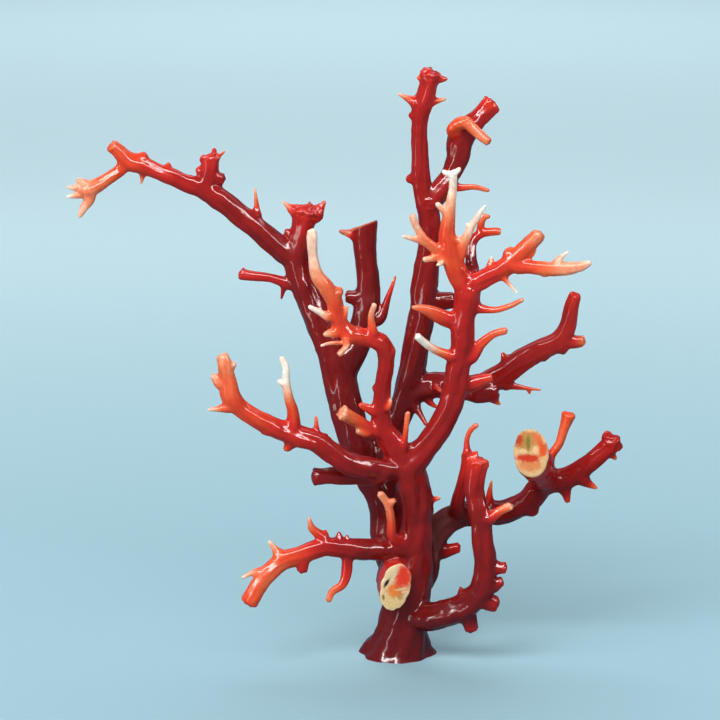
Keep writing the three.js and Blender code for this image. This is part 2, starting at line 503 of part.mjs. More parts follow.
// Low right arm: the long reach to the right, with the second cut knob on its front.
bough("low_right_arm", DARK_RED, {
  clear: ["trunk", "left_stem", "low_right_stem"],
  route: [
    [2.6, 12, 0.8, 2.4], [4.8, 16.5, 1.8, 2.4], [5.4, 20.6, 2.8, 2.4], [7.8, 25, 4.3, 2.6],
    [11.2, 27.8, 5, 2.6], [15.6, 28.5, 5, 2.4], [20.6, 28.8, 4, 2.3], [24.8, 30.6, 3, 2.3],
    [28.6, 34.2, 2, 2.4], [33.2, 35.4, 1, 2.2], [37.2, 38, 0, 1.8], [40.2, 40.6, -0.5, 1.8],
    [42.4, 42.6, -1, 2.0],
  ],
  stubs: [{
    routes: [
      [[28.8, 34.4, 1.5, 2.4], [27.6, 37.4, -2, 3.1], [25.5, 41.6, -7.5, 3.6], [24.5, 43.3, -10, 3.7]],
      [[28.8, 34.4, 1.5, 2.4], [27.6, 36.8, -2, 3.1], [25.7, 39.6, -7.5, 3.6], [24.7, 41.3, -10, 3.7]],
    ],
    face: [25.6, 40.6, -7],
    facing: [-0.2, -1, 0.12],
  }],
  twigs: [
    [[17.4, 30.2, -0.5, 0.8], [17.6, 33, -0.5, 0.5], [18, 35, -0.5, 0.2]],
    [
      [29.4, 37, 0, 1.0], [29.8, 39.8, 0, 1.0], [31.4, 42.2, 0, 1.0], [32.4, 45.2, 0, 0.9],
      [33.8, 48.8, 0, 1.1],
    ],
    [[36.6, 34.8, 0, 1.0], [39.2, 33.2, 0, 0.25]],
    [[32.6, 33.4, 0, 1.0], [33.2, 30.4, 0, 0.5]],
    [[41.8, 40.2, 0, 0.5], [43, 39, 0, 0.3]],
    [[25.8, 29.2, 0, 1.2], [27, 28.2, 0, 0.8]],
    [[7.6, 20.8, 0, 1.2], [11.6, 21.6, 0, 1.0]],
    [[41.2, 43.4, 0, 0.9], [41.2, 44.8, 0, 0.6]],
    [[43, 42.2, 0, 1.0], [44, 42.4, 0, 0.8]],
    [[10.6, 29.4, -2, 1.0], [11.6, 34, -4, 0.9], [12.4, 38, -5, 0.8], [12.4, 40.4, -5.5, 0.6]],
  ],
});

export default coral;
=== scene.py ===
import math

import bpy
import numpy as np
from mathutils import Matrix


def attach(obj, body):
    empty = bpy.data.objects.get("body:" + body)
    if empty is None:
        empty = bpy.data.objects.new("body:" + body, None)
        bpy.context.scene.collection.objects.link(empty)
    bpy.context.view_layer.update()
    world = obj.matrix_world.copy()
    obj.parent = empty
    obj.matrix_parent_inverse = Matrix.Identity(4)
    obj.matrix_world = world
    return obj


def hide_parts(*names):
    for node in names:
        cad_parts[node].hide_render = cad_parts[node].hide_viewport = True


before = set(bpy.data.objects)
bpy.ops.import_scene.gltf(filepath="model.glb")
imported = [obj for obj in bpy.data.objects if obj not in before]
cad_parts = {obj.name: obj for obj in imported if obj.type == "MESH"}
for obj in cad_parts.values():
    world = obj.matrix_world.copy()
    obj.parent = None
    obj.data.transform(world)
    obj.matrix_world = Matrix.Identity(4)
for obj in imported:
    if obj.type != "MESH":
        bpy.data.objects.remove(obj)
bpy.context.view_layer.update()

# The branch is shaped in millimetres and brought to metres at the end.
MM = 0.001

# How the branch shows itself to the viewer, with the same values as in the solids.
VIEW_DISTANCE = 500
VIEW_PITCH = math.radians(10)
VIEW_ACROSS = -8.4
VIEW_UP = 59
DEPTH_SPREAD = 1.3
LENS = 125
FILM = 36
NEAREST_SEEN = 0.01

# How the limbs are drawn.
STEP = 0.3
LEAST_GAP = 1e-4
LEAST_STEPS = 4
ROOT_SWELL = 1.2
LEAST_RADIUS = 0.2
SWELL = 0.06
DOME = 0.6
BLUNT_DOME = 0.25
BLUNT_FROM = 0.75
DOME_LEAST = 0.3
TWIG_SLIM = 0.16
SLIM_FROM = 0.6
SLIM_TO = 1.4
FLARE = 0.8
STOUT_FLARE = 0.3
FLARE_FROM = 0.6
FLARE_TO = 1.8
FLARE_REACH = 0.9
FLARE_MARGIN = 0.3
FLARE_SHARE = 0.85
BURIED = 0.8
KNOB_STUBS = (-0.88, -0.5, 0, 0.5, 0.88)
TWIST = 0.05
TURN_EACH = 1.3
RING_CORNERS = 48
# Each set of ridges round a limb: how many, how high for the radius, and where they start.
LIMB_RIDGES = ((3, 0.05, 1.0), (5, 0.03, 2.2), (8, 0.03, 0.4), (11, 0.012, 3.0))
KNOB_RIDGES = ((2, 0.02, 0.5), (5, 0.012, 1.5))

# How the limbs are melted into one skin.
VOXEL = 0.22
STOUT_FROM = 0.7
STOUT_TO = 1.8
STOUT_SMOOTHING = 8
STOUT_FORKS = 2.4
FORK_SMOOTHING = 10
STOUT_FORK_SMOOTHING = 40
FORK_WIDTH = 1.8
FORK_FROM = 0.2
ALL_SMOOTHING = 2
SMOOTH_FACTOR = 0.5
WEIGHT_LEVELS = 20
CLOUD_DEPTH = 1
LUMP_SIZE = 4.5
LUMP_HEIGHT = 0.6
KNOT_SIZE = 2.2
KNOT_HEIGHT = 0.14
RIPPLE_SIZE = 1.1
RIPPLE_HEIGHT = 0.03
SNAP_FROM = 0.45
SNAP_SIZE = 0.8
SNAP_HEIGHT = 0.7
# A snapped end is rough over this range, in end radii from its tip.
SNAP_ROUGH = 0.2
SNAP_SOUND = 0.9
SHADE_ANGLE = math.radians(50)

# How the skin is read for its colours.
REACH = 3.0
TONE_BLEND = 0.35
GRAIN_STRETCH = 9.0
GRAIN_SHIFT = 7.3
FADE_FROM = 0.1
FORK_FADE = 0.9
FAR_OFF = 1e3
BATCH = 4000
LABEL_ROUNDS = 6
LABEL_LEAD = 2
ISLAND_ROUNDS = 8
CAP_SIDES = 8
SAW_EDGE = 0.15
SAW_DEPTH = 0.5
SAW_CLEAR = 2.0
SAW_WIDTH = 8.0

# Floor and light: each lamp is its place, what it faces, its size and its power.
# Soft lamps light the branch and the floor, and strips only gleam in its polish.
# NEAR_PAPER to FAR_PAPER is painted light: the paper turns paler further away, where the lamps light it
# less.
NEAR_PAPER = (143, 176, 187)
FAR_PAPER = (183, 209, 217)
PAPER_ROUGHNESS = 0.8
PAPER_SHINE = 0.1
PAPER_FROM = 0.02
PAPER_TO = 0.8
# PAPER_GLOW is a painted glow: the paper gives off this light to the sides and far off, where the far
# lamp doesn't reach, rising from GLOW_FROM to GLOW_TO.
PAPER_GLOW = (150, 174, 178)
GLOW_FROM = 0.5
GLOW_TO = 1.5
GLOW_SIDE = 0.6
GLOW_AHEAD = 0.97
FLOOR_SIZE = 16
ROOM_LIGHT = 0.25
ROOM_GLEAM = 0.3
ROOM_COLOUR = (215, 228, 236)
GLEAM_COLOUR = (135, 184, 213)
SUN_LIGHT = 1.3
SUN_TURN = (math.radians(40), math.radians(-25), 0)
SUN_WIDTH = math.radians(25)
SOFT_LAMPS = (
    ((-0.1, -0.6, 0.65), (0, 0, 0.06), (1.6, 0.3), 7.0),
    ((0.1, 0.45, 0.75), (0, 0, 0.06), (1.6, 0.3), 2.5),
    ((-0.7, -0.55, 0.25), (0, 0, 0.06), (0.3, 0.8), 2.0),
    ((0, 3.2, 2.2), (0, 3.2, 0), (5, 2), 70.0),
)
STRIPS = (
    ((0.1, -0.5, 0.55), (0.1, 0, 0.06), (2.4, 0.12), 21.0),
    ((0.08, 0.36, 0.62), (0, 0, 0.06), (1.4, 0.1), 1.8),
    ((-0.56, -0.44, 0.2), (0, 0, 0.06), (0.08, 0.7), 1.2),
)

# Each route point is (across, up, depth, radius), given in the same way as for the solids.
# A twig is its tones, then its route, with depths counted from where it leaves its bough.
# Each tone goes from 0, maroon, over red and orange to 1, cream, from the root to the end.
BOUGHS = {
    "trunk": {
        "slot": "coral_red",
        "tones": (0.06, 0.11, 0.16, 0.22, 0.25, 0.28),
        "route": (
            (-0.6, -4, 0.8, 9.2), (-0.6, 0, 0.8, 7.8), (-0.3, 2.2, 0.5, 5.9), (0.2, 5, 0.2, 4.9),
            (1.2, 11, 0, 4.5), (2, 17, 0, 4), (2.6, 22, -0.2, 3.4), (2.8, 27, -0.5, 3.1),
            (2.8, 31, -1, 3.2), (2, 34.6, -1.4, 3.4), (1.2, 37.6, -1.9, 3.1), (0.4, 41, -2.2, 2),
        ),
        "knob": {
            "tones": (0.2, 0.5, 0.64),
            "path": ((-2.6, 16.4, -0.5, 2.4, 3.6), (-1.9, 15, -3.5, 2.9, 4.4), (-0.6, 12.2, -9, 3.2, 5)),
            "lean": math.radians(17),
            "cut": ((-1.4, 13.6, -6.4), (0.16, -1, 0.06)),
        },
        "twigs": (
            ((0.46, 0.68, 0.8),
             (-1.8, 23.4, -3, 1), (-2.2, 27, -4, 0.9), (-2.8, 30, -4.5, 0.9), (-4.6, 32.6, -5, 0.8)),
            ((0.74,), (-2.2, 30.4, -0.2, 0.6), (-1.4, 31.2, -0.5, 0.6)),
            ((0.55, 0.84), (5.4, 31, 0, 0.6), (7.9, 31.4, 0, 0.25)),
            ((0.5, 0.66, 0.76), (0.4, 42, -1.6, 0.7), (0.8, 45, -2.2, 0.6), (1.2, 48.8, -2.6, 0.6)),
        ),
    },
    "left_stem": {
        "slot": "coral_dark_red",
        # The first tones are partly the stem's own red and partly painted light, raised to lift the
        # shade on its lower part.
        "tones": (0.16, 0.21, 0.19, 0.16, 0.18, 0.22, 0.2, 0.2, 0.24, 0.46),
        "route": (
            (-1, 14, 1, 2.8), (-2.8, 23, 4, 3.2), (-3.5, 30, 5, 3.3), (-6.6, 36, 5.5, 3.2),
            (-8.8, 42, 6, 3.5), (-11.4, 51, 6.5, 3.2), (-12.4, 55.4, 7, 3.4), (-14, 60, 7, 3),
            (-16.8, 67, 7.5, 2.8), (-18.2, 70.6, 8, 2.8), (-19.8, 74, 8, 2.5), (-21, 78, 8.5, 2.6),
            (-20.6, 82.4, 8.5, 2.3), (-19.8, 85.8, 8.5, 2.2), (-19.4, 88, 8.5, 2.6),
            (-19.1, 89.4, 8.5, 3),
        ),
        "twigs": (
            ((0.4, 0.45, 0.5),
             (-22.4, 74.4, 0, 1), (-26.4, 75.4, 0, 0.9), (-31.4, 76, 0, 1.1), (-32.6, 76.4, 0, 1.3)),
            ((0.35,), (-23.6, 73.6, 0, 0.6), (-24.2, 71, 0, 0.2)),
            ((0.3,), (-16.6, 61, 0, 0.7), (-17.6, 61.4, 0, 0.3)),
            ((0.86,), (-21.6, 89, 0, 0.8), (-24, 90.8, 0, 0.2)),
            ((0.5, 0.72), (-17.6, 88.2, 0, 1.3), (-16.3, 89.6, 0, 0.9), (-15.3, 91, 0, 0.25)),
            ((0.45,), (-17.6, 87.2, 0, 1), (-16.2, 87.2, 0, 0.6)),
            ((0.4,), (-22.2, 84, 0, 0.8), (-23.4, 85.2, 0, 0.4)),
        ),
    },
    "far_left_arm": {
        "slot": "coral_dark_red",
        "tones": (0.2, 0.25, 0.28, 0.32, 0.42, 0.56, 0.66),
        "route": (
            (-21, 78.6, 8.5, 2.2), (-23.8, 81, 8.5, 2.3), (-28, 84.6, 8, 2.2), (-32.4, 88.2, 8, 2.2),
            (-36.4, 91.2, 7.5, 2.2), (-39.8, 93.2, 7.5, 2), (-44.4, 94.9, 7, 1.7),
            (-48.4, 96.5, 6.5, 1.6), (-52.4, 98.2, 6, 1.8), (-54.8, 98.8, 6, 1.8),
            (-56.8, 100.8, 5.5, 1.4), (-58.4, 102, 5, 1.2),
        ),
        "twigs": (
            ((0.58, 0.66, 0.73, 0.77),
             (-56.4, 97, 0, 1.2), (-58, 95.8, -0.5, 1.2), (-60.4, 94.2, -1, 1.3),
             (-62.8, 93, -1.5, 1.5), (-64, 92.8, -1.6, 1.2)),
            ((0.86,), (-63.4, 94.2, 0, 0.9), (-65.2, 95, 0, 0.5)),
            ((0.93,), (-64.4, 93.2, 0, 0.8), (-67.2, 93.6, -0.4, 0.3)),
            ((0.92,), (-64.2, 92.2, 0, 0.8), (-67.2, 91.6, -0.4, 0.3)),
            ((0.78, 0.9), (-62.4, 91.4, 0, 1.1), (-63.6, 89.4, -0.2, 0.9), (-64.6, 87.4, -0.4, 0.4)),
            ((0.9,), (-29.2, 88, 0, 0.7), (-29.4, 93.6, 0, 0.2)),
            ((0.84,), (-51.8, 96.2, 0, 0.5), (-52.2, 94, 0, 0.2)),
            ((0.6,), (-51.8, 99.6, 0, 0.8), (-51.6, 100.6, 0, 0.5)),
            ((0.6,), (-46.8, 97.8, 0, 0.5), (-46.6, 98.6, 0, 0.3)),
            ((0.32, 0.42, 0.5), (-38.8, 95, 0, 1.8), (-38.4, 98, 0, 1.8), (-38.2, 100.2, 0, 2)),
            ((0.5,), (-37.6, 100, 0, 0.6), (-37.6, 101.8, 0, 0.2)),
            ((0.84,), (-36.8, 99.8, 0, 0.6), (-35.2, 101, 0, 0.2)),
            ((0.56,), (-39.6, 99.2, 0, 0.7), (-40.4, 99.6, 0, 0.4)),
            ((0.62,), (-40.2, 96.8, 0, 0.8), (-41.2, 97.4, 0, 0.5)),
            ((0.32,), (-35.4, 95, 0, 1.2)),
        ),
    },
    "middle_stem": {
        "slot": "coral_dark_red",
        "tones": (0.13, 0.13, 0.15, 0.18, 0.22, 0.3),
        "route": (
            (-12.2, 55, 7, 2.6), (-10.4, 59, 7, 2.8), (-8.4, 64, 7.5, 2.6), (-7, 70, 8, 2.5),
            (-6.8, 75, 8.5, 2.2), (-7.2, 80, 8.5, 2.2), (-7.5, 84.4, 8.5, 2.4), (-7.4, 88.4, 8.5, 2.7),
        ),
        "cut": ((-7.4, 86, 8.5), (-0.37, 0.2, 0.93)),
        "twigs": (
            ((0.62, 0.84), (-9.6, 84.2, 0, 0.8), (-12.7, 84.8, 0, 0.35)),
            ((0.25,), (-8.8, 71.4, 0, 1.2), (-11.4, 71.8, 0, 1.1)),
            ((0.25, 0.45, 0.7), (-4.6, 67.4, -0.5, 1.1), (-2.6, 72, -0.5, 0.6), (-1.2, 76, -0.5, 0.2)),
        ),
    },
    "centre_stem": {
        "slot": "coral_dark_red",
        "tones": (0.14, 0.13, 0.15, 0.18, 0.22, 0.28, 0.32),
        "route": (
            (-4.2, 30, 5, 2.6), (-3, 38, 6.2, 3), (-2.3, 42.5, 6.4, 3.1), (-1.4, 46, 6.5, 2.5),
            (0.6, 51.4, 7, 2.6), (2.2, 58, 7, 2.6), (3.2, 64, 7, 2.6), (4.2, 69, 7, 2.6),
            (4.4, 73, 7, 2.6), (5, 77.4, 7, 2.5), (5.4, 82, 7, 2.1), (5.6, 86, 6.5, 2.2),
            (5, 90.4, 6, 2.2),
        ),
        "twigs": (
            ((0.2,), (7, 70.6, 0, 1.7), (10.8, 71, 0, 1.6)),
        ),
    },
    "centre_tip": {
        "slot": "coral_dark_red",
        "tones": (0.3, 0.36, 0.4, 0.42, 0.46),
        "route": (
            (4.8, 90, 6, 2), (3.8, 94, 6, 1.9), (3.6, 99, 5.5, 1.6), (3.4, 104, 5, 1.6),
            (3.6, 108, 4.5, 1.7), (4.4, 111, 4, 1.9), (5.3, 114, 3.5, 1.9), (5.8, 116.9, 3, 2.2),
        ),
        "twigs": (
            ((0.66,), (5, 116.2, 0, 0.9), (4.4, 117.4, 0, 0.5)),
            ((0.62,), (7.2, 115.2, 0, 0.7), (9.2, 115.2, 0, 0.3)),
            ((0.8,), (3.6, 115.4, 0, 0.6), (2.8, 115.6, 0, 0.3)),
            ((0.88,), (2.2, 110.8, 0, 0.8), (-1, 112.4, 0, 0.2)),
            ((0.84,), (6, 110.8, 0, 0.7), (9, 111.2, 0, 0.25)),
            ((0.4,), (1.2, 108, 0, 0.4)),
            ((0.42,), (2.2, 95.2, 0, 0.8), (0.8, 95.2, 0, 0.6)),
        ),
    },
    "upper_right_tip": {
        "slot": "coral_dark_red",
        "tones": (0.3, 0.34, 0.26, 0.2, 0.32, 0.42, 0.56),
        "route": (
            (5.4, 89.6, 6, 2), (8, 93.4, 6.5, 2), (10.2, 96.8, 7, 2), (11.4, 100, 7.5, 2.2),
            (11.7, 103, 8, 2.6), (13.2, 105.4, 8, 2.3), (15.2, 107.6, 8.5, 1.8), (17, 109.4, 9, 2),
            (18.4, 110.8, 9.1, 2.1),
        ),
        "twigs": (
            ((0.6, 0.68, 0.72, 0.72),
             (10, 105, -2, 1), (11.4, 106.3, -2.5, 1.2), (12.8, 106.5, -2.8, 1.2), (14, 105.4, -3, 1.1),
             (16, 103.6, -3.5, 1), (17.6, 102.4, -4, 0.9)),
            ((0.7,), (12.8, 107.2, -0.8, 0.8)),
            ((0.64,), (9.8, 105.8, -0.4, 0.9)),
            ((0.6, 0.66, 0.7), (11, 93.6, 0, 0.7), (14.6, 93.6, 0, 0.6), (17.6, 92.8, 0, 0.4)),
        ),
    },
    "right_arm": {
        "slot": "coral_dark_red",
        "tones": (0.12, 0.2, 0.32, 0.38, 0.42, 0.47, 0.5),
        "route": (
            (0.8, 51.6, 7, 2.3), (5.6, 53.8, 7, 2.6), (10, 53.8, 6.5, 2.6), (14.6, 53.6, 6, 2.3),
            (18.6, 55.2, 5.5, 2.3), (21.6, 57.4, 5, 2.2), (24.6, 59.5, 4.5, 2.1), (28, 61.2, 4, 2),
            (31.2, 62.8, 3.5, 2), (33, 65.4, 3, 1.7), (33.8, 69, 2.5, 1.5), (34.8, 72.4, 2, 1.1),
        ),
        "twigs": (
            ((0.48, 0.76), (33, 62.8, 0, 1.3), (36.6, 62.8, 0, 1.1)),
            ((0.4,), (32, 61.2, 0, 0.9), (32.4, 60.2, 0, 0.6)),
            ((0.35,), (28.2, 59.8, 0, 0.9), (28.2, 58.8, 0, 0.6)),
            ((0.66,), (20.6, 59.4, 0, 0.6), (20, 60.6, 0, 0.3)),
            ((0.25, 0.3, 0.36), (14.4, 52.6, -1, 2), (17, 52.9, -1.2, 2.2), (19.2, 53.2, -1.4, 1.8)),
            ((0.86,), (18.6, 51, 0, 0.6), (19.8, 50, 0, 0.25)),
            ((0.4, 0.62, 0.72), (20.6, 54.4, 0, 0.8), (24.6, 53.4, -0.5, 0.5), (28, 53, -1, 0.2)),
            ((0.64,), (25.4, 52.8, 0, 0.4), (25.6, 52, 0, 0.25)),
            ((0.72,), (7, 53.4, -2.4, 0.5), (8.4, 52.4, -3.4, 0.3)),
            ((0.66,), (5.6, 50.6, -1, 0.6), (7.2, 49.4, -1.5, 0.3)),
            ((0.2, 0.4, 0.6), (2.4, 50, -1, 1), (3.6, 48.2, -2, 0.6), (5, 45.8, -3, 0.4)),
        ),
    },
    "front_left_stem": {
        "slot": "coral_orange_red",
        "tones": (0.3, 0.34, 0.36, 0.38, 0.42, 0.48, 0.55, 0.58, 0.7, 0.87, 0.93),
        "route": (
            (0.2, 38.6, -2, 2.7), (-1.7, 41.9, -2.5, 2.6), (-4, 45.8, -3, 2.1), (-4.1, 50.6, -4, 1.7),
            (-3.7, 55.4, -5, 1.6), (-3.2, 59.6, -6, 1.7), (-4.4, 62.4, -7, 1.8), (-8, 63.6, -8, 1.8),
            (-11, 64.4, -9, 2),
            (-12.8, 67.4, -9.5, 1.8), (-13.6, 71, -10, 1.7), (-15.2, 73.6, -10.5, 1.7),
            (-17, 76, -11, 1.3), (-17.8, 80, -11.5, 0.9), (-18, 83.6, -12, 1.1), (-18, 85.2, -12, 0.8),
        ),
        "twigs": (
            ((0.72,), (-12.6, 72.8, 0, 0.9), (-12, 73.4, 0, 0.5)),
            ((0.78, 0.92, 0.97),
             (-14.8, 67.8, -0.5, 0.7), (-16.8, 68.8, -1, 0.6), (-18.8, 69.8, -1.5, 0.45)),
            ((0.88,), (-13.4, 64.6, -0.5, 1), (-15.8, 64, -1, 0.4)),
            ((0.92,), (-11.4, 62.6, -1.5, 0.5), (-14.2, 62.4, -2, 0.4), (-16.4, 61.8, -2.5, 0.3)),
            ((0.86,), (-11, 62, -1, 0.7), (-12.8, 59.8, -2, 0.6)),
            ((0.93,), (-11.6, 67.4, -0.5, 0.4), (-10.8, 70.2, -1, 0.3)),
            ((0.62, 0.76, 0.82), (-6, 65, -0.5, 0.8), (-6.2, 67.8, -1, 0.65), (-5.4, 70.4, -1.5, 0.6)),
            ((0.58,), (-2, 60.6, 0, 0.8), (-1.2, 60.6, 0, 0.4)),
            ((0.6,), (-5.2, 53.4, 0, 0.5), (-6, 53.8, 0, 0.3)),
            ((0.5, 0.64), (-5, 48.6, -0.5, 1.2), (-8.6, 50.2, -1.5, 0.6)),
            ((0.7, 0.92), (-2.9, 49.6, -1, 0.5), (-2.1, 51.2, -1.2, 0.4)),
        ),
    },
    "front_left_spur": {
        "slot": "coral_orange_red",
        "tones": (0.4, 0.44, 0.6, 0.8),
        "route": (
            (-2.6, 44.2, -3, 1.4), (-6, 45, -4, 1.3), (-9.4, 47, -5.5, 1.2), (-12.4, 48.6, -7, 1.4),
        ),
        "twigs": (
            ((0.86,), (-7, 44.4, -0.6, 0.8), (-9.2, 45, -1.4, 0.7)),
        ),
    },
    "front_right_stem": {
        "slot": "coral_red",
        "tones": (0.28, 0.32, 0.34, 0.38, 0.44),
        "route": (
            (1.4, 38, -2, 3.2), (5, 41.8, -2.5, 2.4), (7.7, 45.8, -3, 2.4), (9.7, 50.2, -3.5, 2.4),
            (10.8, 55.4, -4, 2.4), (11.8, 61, -4.5, 2.2), (12, 66, -5, 2.4), (13, 71, -5.5, 2.4),
            (13.2, 74.4, -6, 2.3),
        ),
        "twigs": (
            ((0.5, 0.6, 0.68, 0.76),
             (10, 67, 0, 1.6), (6.8, 68.2, -1, 1.5), (4.4, 69.2, -2, 1), (1.8, 69.6, -2.5, 0.3)),
            ((0.55, 0.8, 0.95, 0.98),
             (10, 59.8, -1, 0.9), (6.8, 61, -2, 0.9), (4.6, 62.4, -3, 0.8), (2.8, 64, -4, 0.8)),
            ((0.56, 0.64, 0.68, 0.76),
             (14.8, 69.4, 0, 0.8), (18.6, 69, -0.5, 0.7), (21.6, 69.8, -1, 0.6),
             (24.4, 71.2, -1.5, 0.45)),
            ((0.42, 0.5, 0.64), (12.8, 54.2, 0.6, 1.5), (15.6, 54.9, 0.6, 1.3), (18.2, 55.6, 0.6, 0.8)),
            ((0.48, 0.6, 0.66, 0.72),
             (13.6, 59.6, 0, 1.2), (16, 62.4, -0.5, 1), (18.4, 64.2, -1, 0.8), (21.2, 65, -1.5, 0.8)),
        ),
    },
    "front_tip": {
        "slot": "coral_orange_red",
        "tones": (0.48, 0.57, 0.6, 0.58, 0.66, 0.8, 0.92, 0.97),
        "route": (
            (12.6, 73.6, -6, 2), (10.6, 77.4, -6.5, 2.2), (9.6, 80.6, -7, 2), (9, 83.8, -7.5, 1.6),
            (9.4, 87.4, -8, 1.3), (9.8, 90.4, -8.5, 1), (10.2, 93.4, -8.5, 0.75),
            (10.2, 96.2, -9, 0.85),
        ),
        "twigs": (
            ((0.98,), (9.4, 96.2, 0, 0.7), (8, 96.8, 0, 0.5)),
            ((0.98,), (10.6, 96.4, 0, 0.7), (11.8, 97.4, 0, 0.5)),
            ((0.66, 0.74, 0.84, 0.88),
             (8.2, 80.6, 0, 1.2), (5.2, 82.4, -1, 1), (3.2, 85, -1.5, 0.8), (1.8, 88.2, -2, 0.75)),
            ((0.76, 0.86, 0.92), (5.2, 82.3, 0, 0.9), (2.6, 83.2, -0.5, 0.7), (0, 83.8, -1, 0.35)),
            ((0.7, 0.9), (7.6, 79.8, -0.5, 0.8), (4, 79, -1, 0.6)),
            ((0.95,), (8, 78.4, -0.5, 0.5), (6.8, 78, -1, 0.35)),
            ((0.78, 0.92), (9, 88.4, 0, 0.8), (6.8, 90.4, -0.5, 0.5)),
            ((0.86,), (10.6, 82.8, 0, 0.6), (11.4, 83.8, 0, 0.3)),
            ((0.7, 0.84, 0.92, 0.95),
             (11.2, 79.8, 0, 1.2), (12.4, 82.6, -0.5, 1), (14, 85.8, -1, 0.8), (15.6, 88.4, -1.5, 0.6),
             (16.8, 90, -2, 0.3)),
            ((0.95,), (13.6, 85.6, 0, 0.5), (12.6, 86.4, 0, 0.25)),
            ((0.3, 0.28, 0.36, 0.58, 0.68),
             (14, 76.4, 2.4, 1.3), (13.8, 79.4, 3.6, 1.1), (14, 82.4, 4.4, 1), (15.6, 84.2, 5, 1),
             (19.8, 84.8, 5.4, 0.8)),
            ((0.6, 0.72, 0.78), (15.6, 85, 0, 0.8), (16, 87, 0, 0.8), (16.4, 88.6, 0, 0.6)),
            ((0.6,), (16.6, 87.6, 0, 0.5), (17.8, 87.8, 0, 0.4)),
        ),
    },
    "right_front_tip": {
        "slot": "coral_red",
        "tones": (0.46, 0.5, 0.52, 0.58, 0.66, 0.78),
        "route": (
            (13.4, 73.8, -6, 1.9), (17.2, 75.8, -6.5, 1.9), (20.6, 77.6, -7, 1.8),
            (23.2, 79.8, -7.5, 1.8), (25.6, 82.3, -8, 1.6), (27.2, 84, -8.5, 1.4),
            (27.7, 84.7, -8.6, 0.9),
        ),
        "twigs": (
            ((0.72,), (21.4, 80.2, 0, 0.8), (22.4, 81.6, 0, 0.5)),
            ((0.94,), (17.8, 77.8, 0, 0.6), (18, 79.8, 0, 0.3)),
            ((0.88,), (25.4, 80.2, 0, 0.6), (26.8, 81, 0, 0.35)),
            ((0.56, 0.68, 0.76, 0.8, 0.88),
             (22.8, 77.9, -0.5, 1.6), (26.6, 77.5, -1, 1.4), (30, 77.2, -1.5, 1.4),
             (33.4, 77.3, -2, 1.3), (36, 77.8, -2.3, 1), (38, 78.6, -2.5, 0.5)),
            ((0.94,), (31.2, 78.8, 0, 0.6), (33.4, 80.8, 0, 0.25)),
            ((0.8,), (28.6, 76.8, 0, 0.7), (29, 75.6, 0, 0.5)),
            ((0.95,), (20.6, 75.2, -0.5, 0.45), (23.2, 72.2, -1.5, 0.2)),
        ),
    },
    "left_arm": {
        "slot": "coral_red",
        "tones": (0.24, 0.26, 0.28, 0.3, 0.36, 0.44, 0.5, 0.57, 0.6, 0.68, 0.8),
        "route": (
            (0.4, 36.8, -2, 2.2), (-5.4, 37.4, -4.4, 2), (-10, 38.2, -6, 2.2), (-14, 40.4, -7, 2.2),
            (-17.4, 42.8, -8, 2.2), (-21.2, 43.8, -9, 2.1), (-25.4, 45.4, -10, 1.9),
            (-29.4, 47.4, -11, 1.8), (-32.4, 49.4, -11.5, 1.8), (-34.2, 51.8, -12, 1.9),
            (-34.8, 55, -12, 1.7), (-35.4, 58, -12.5, 1.4), (-36, 60.2, -12.5, 1.1),
        ),
        "twigs": (
            ((0.64, 0.95), (-34.8, 49.6, 0, 0.9), (-39, 49, -0.5, 0.25)),
            ((0.84,), (-36.4, 54.4, 0, 0.8), (-38, 56.2, 0, 0.6)),
            ((0.96,), (-34.2, 57.8, 0, 0.6), (-33.2, 58.6, 0, 0.4)),
            ((0.5, 0.62, 0.8, 0.92, 0.97, 0.98),
             (-21.8, 45.4, 0, 1.3), (-21.8, 48.6, -0.5, 1.1), (-22.6, 51.4, -1, 1),
             (-23.2, 55, -1.5, 0.9), (-23.2, 57.4, -2, 0.8), (-24.2, 59.8, -2, 0.6)),
            ((0.97,), (-23.8, 54.4, 0, 0.5), (-25, 55, 0, 0.35)),
            ((0.56, 0.74), (-17.2, 44.6, 0, 0.5), (-17.2, 48, 0, 0.3)),
            ((0.32,), (-15.8, 42.8, 0, 1.3), (-15.2, 43.8, 0, 0.7)),
            ((0.5, 0.68), (-22.4, 42.2, 0, 0.8), (-23.4, 40.8, 0, 0.6)),
            ((0.46,), (-27.2, 44.8, 0, 0.9), (-27.6, 44, 0, 0.6)),
            ((0.22, 0.26, 0.3), (-4, 35.9, 0.4, 1.8), (-9.4, 35.8, 0.2, 1.7), (-18, 35.8, -0.4, 1.7)),
        ),
    },
    "low_left_arm": {
        "slot": "coral_red",
        "tones": (0.16, 0.2, 0.24, 0.34, 0.5, 0.62, 0.66, 0.62),
        "route": (
            (1.2, 21, -0.8, 2.1), (-6.4, 21, -3.2, 2.1), (-11.4, 21.4, -4.5, 2), (-16, 21.6, -5.5, 1.9),
            (-20.4, 20, -6.5, 1.8), (-23.8, 18.8, -7, 1.8), (-26.4, 16.8, -8, 1.8),
            (-28.6, 13.8, -8.5, 1.7), (-30.8, 10.2, -9, 1.6),
        ),
        "twigs": (
            ((0.7, 0.97), (-24.8, 20.4, 0, 0.8), (-26.8, 23, 0, 0.25)),
            ((0.5, 0.66, 0.82), (-16, 23.4, 0, 1), (-18, 25.4, -0.5, 0.8), (-18.6, 27.6, -1, 0.3)),
            ((0.56,), (-15.2, 23.4, 0, 0.6), (-15.4, 25.2, 0, 0.3)),
            ((0.44,), (-12.6, 23.2, 0, 0.6), (-12.6, 24.8, 0, 0.3)),
            ((0.42,), (-11, 23, 0, 0.6), (-11, 24.2, 0, 0.3)),
            ((0.44,), (-20, 18.6, 0, 1.2), (-20, 16.4, 0, 1)),
            ((0.8, 0.92), (-28.8, 16.6, 0, 0.6), (-32.2, 15.4, 0, 0.35)),
        ),
    },
    "low_left_twig": {
        "slot": "coral_red",
        "tones": (0.3, 0.42, 0.5, 0.64, 0.74),
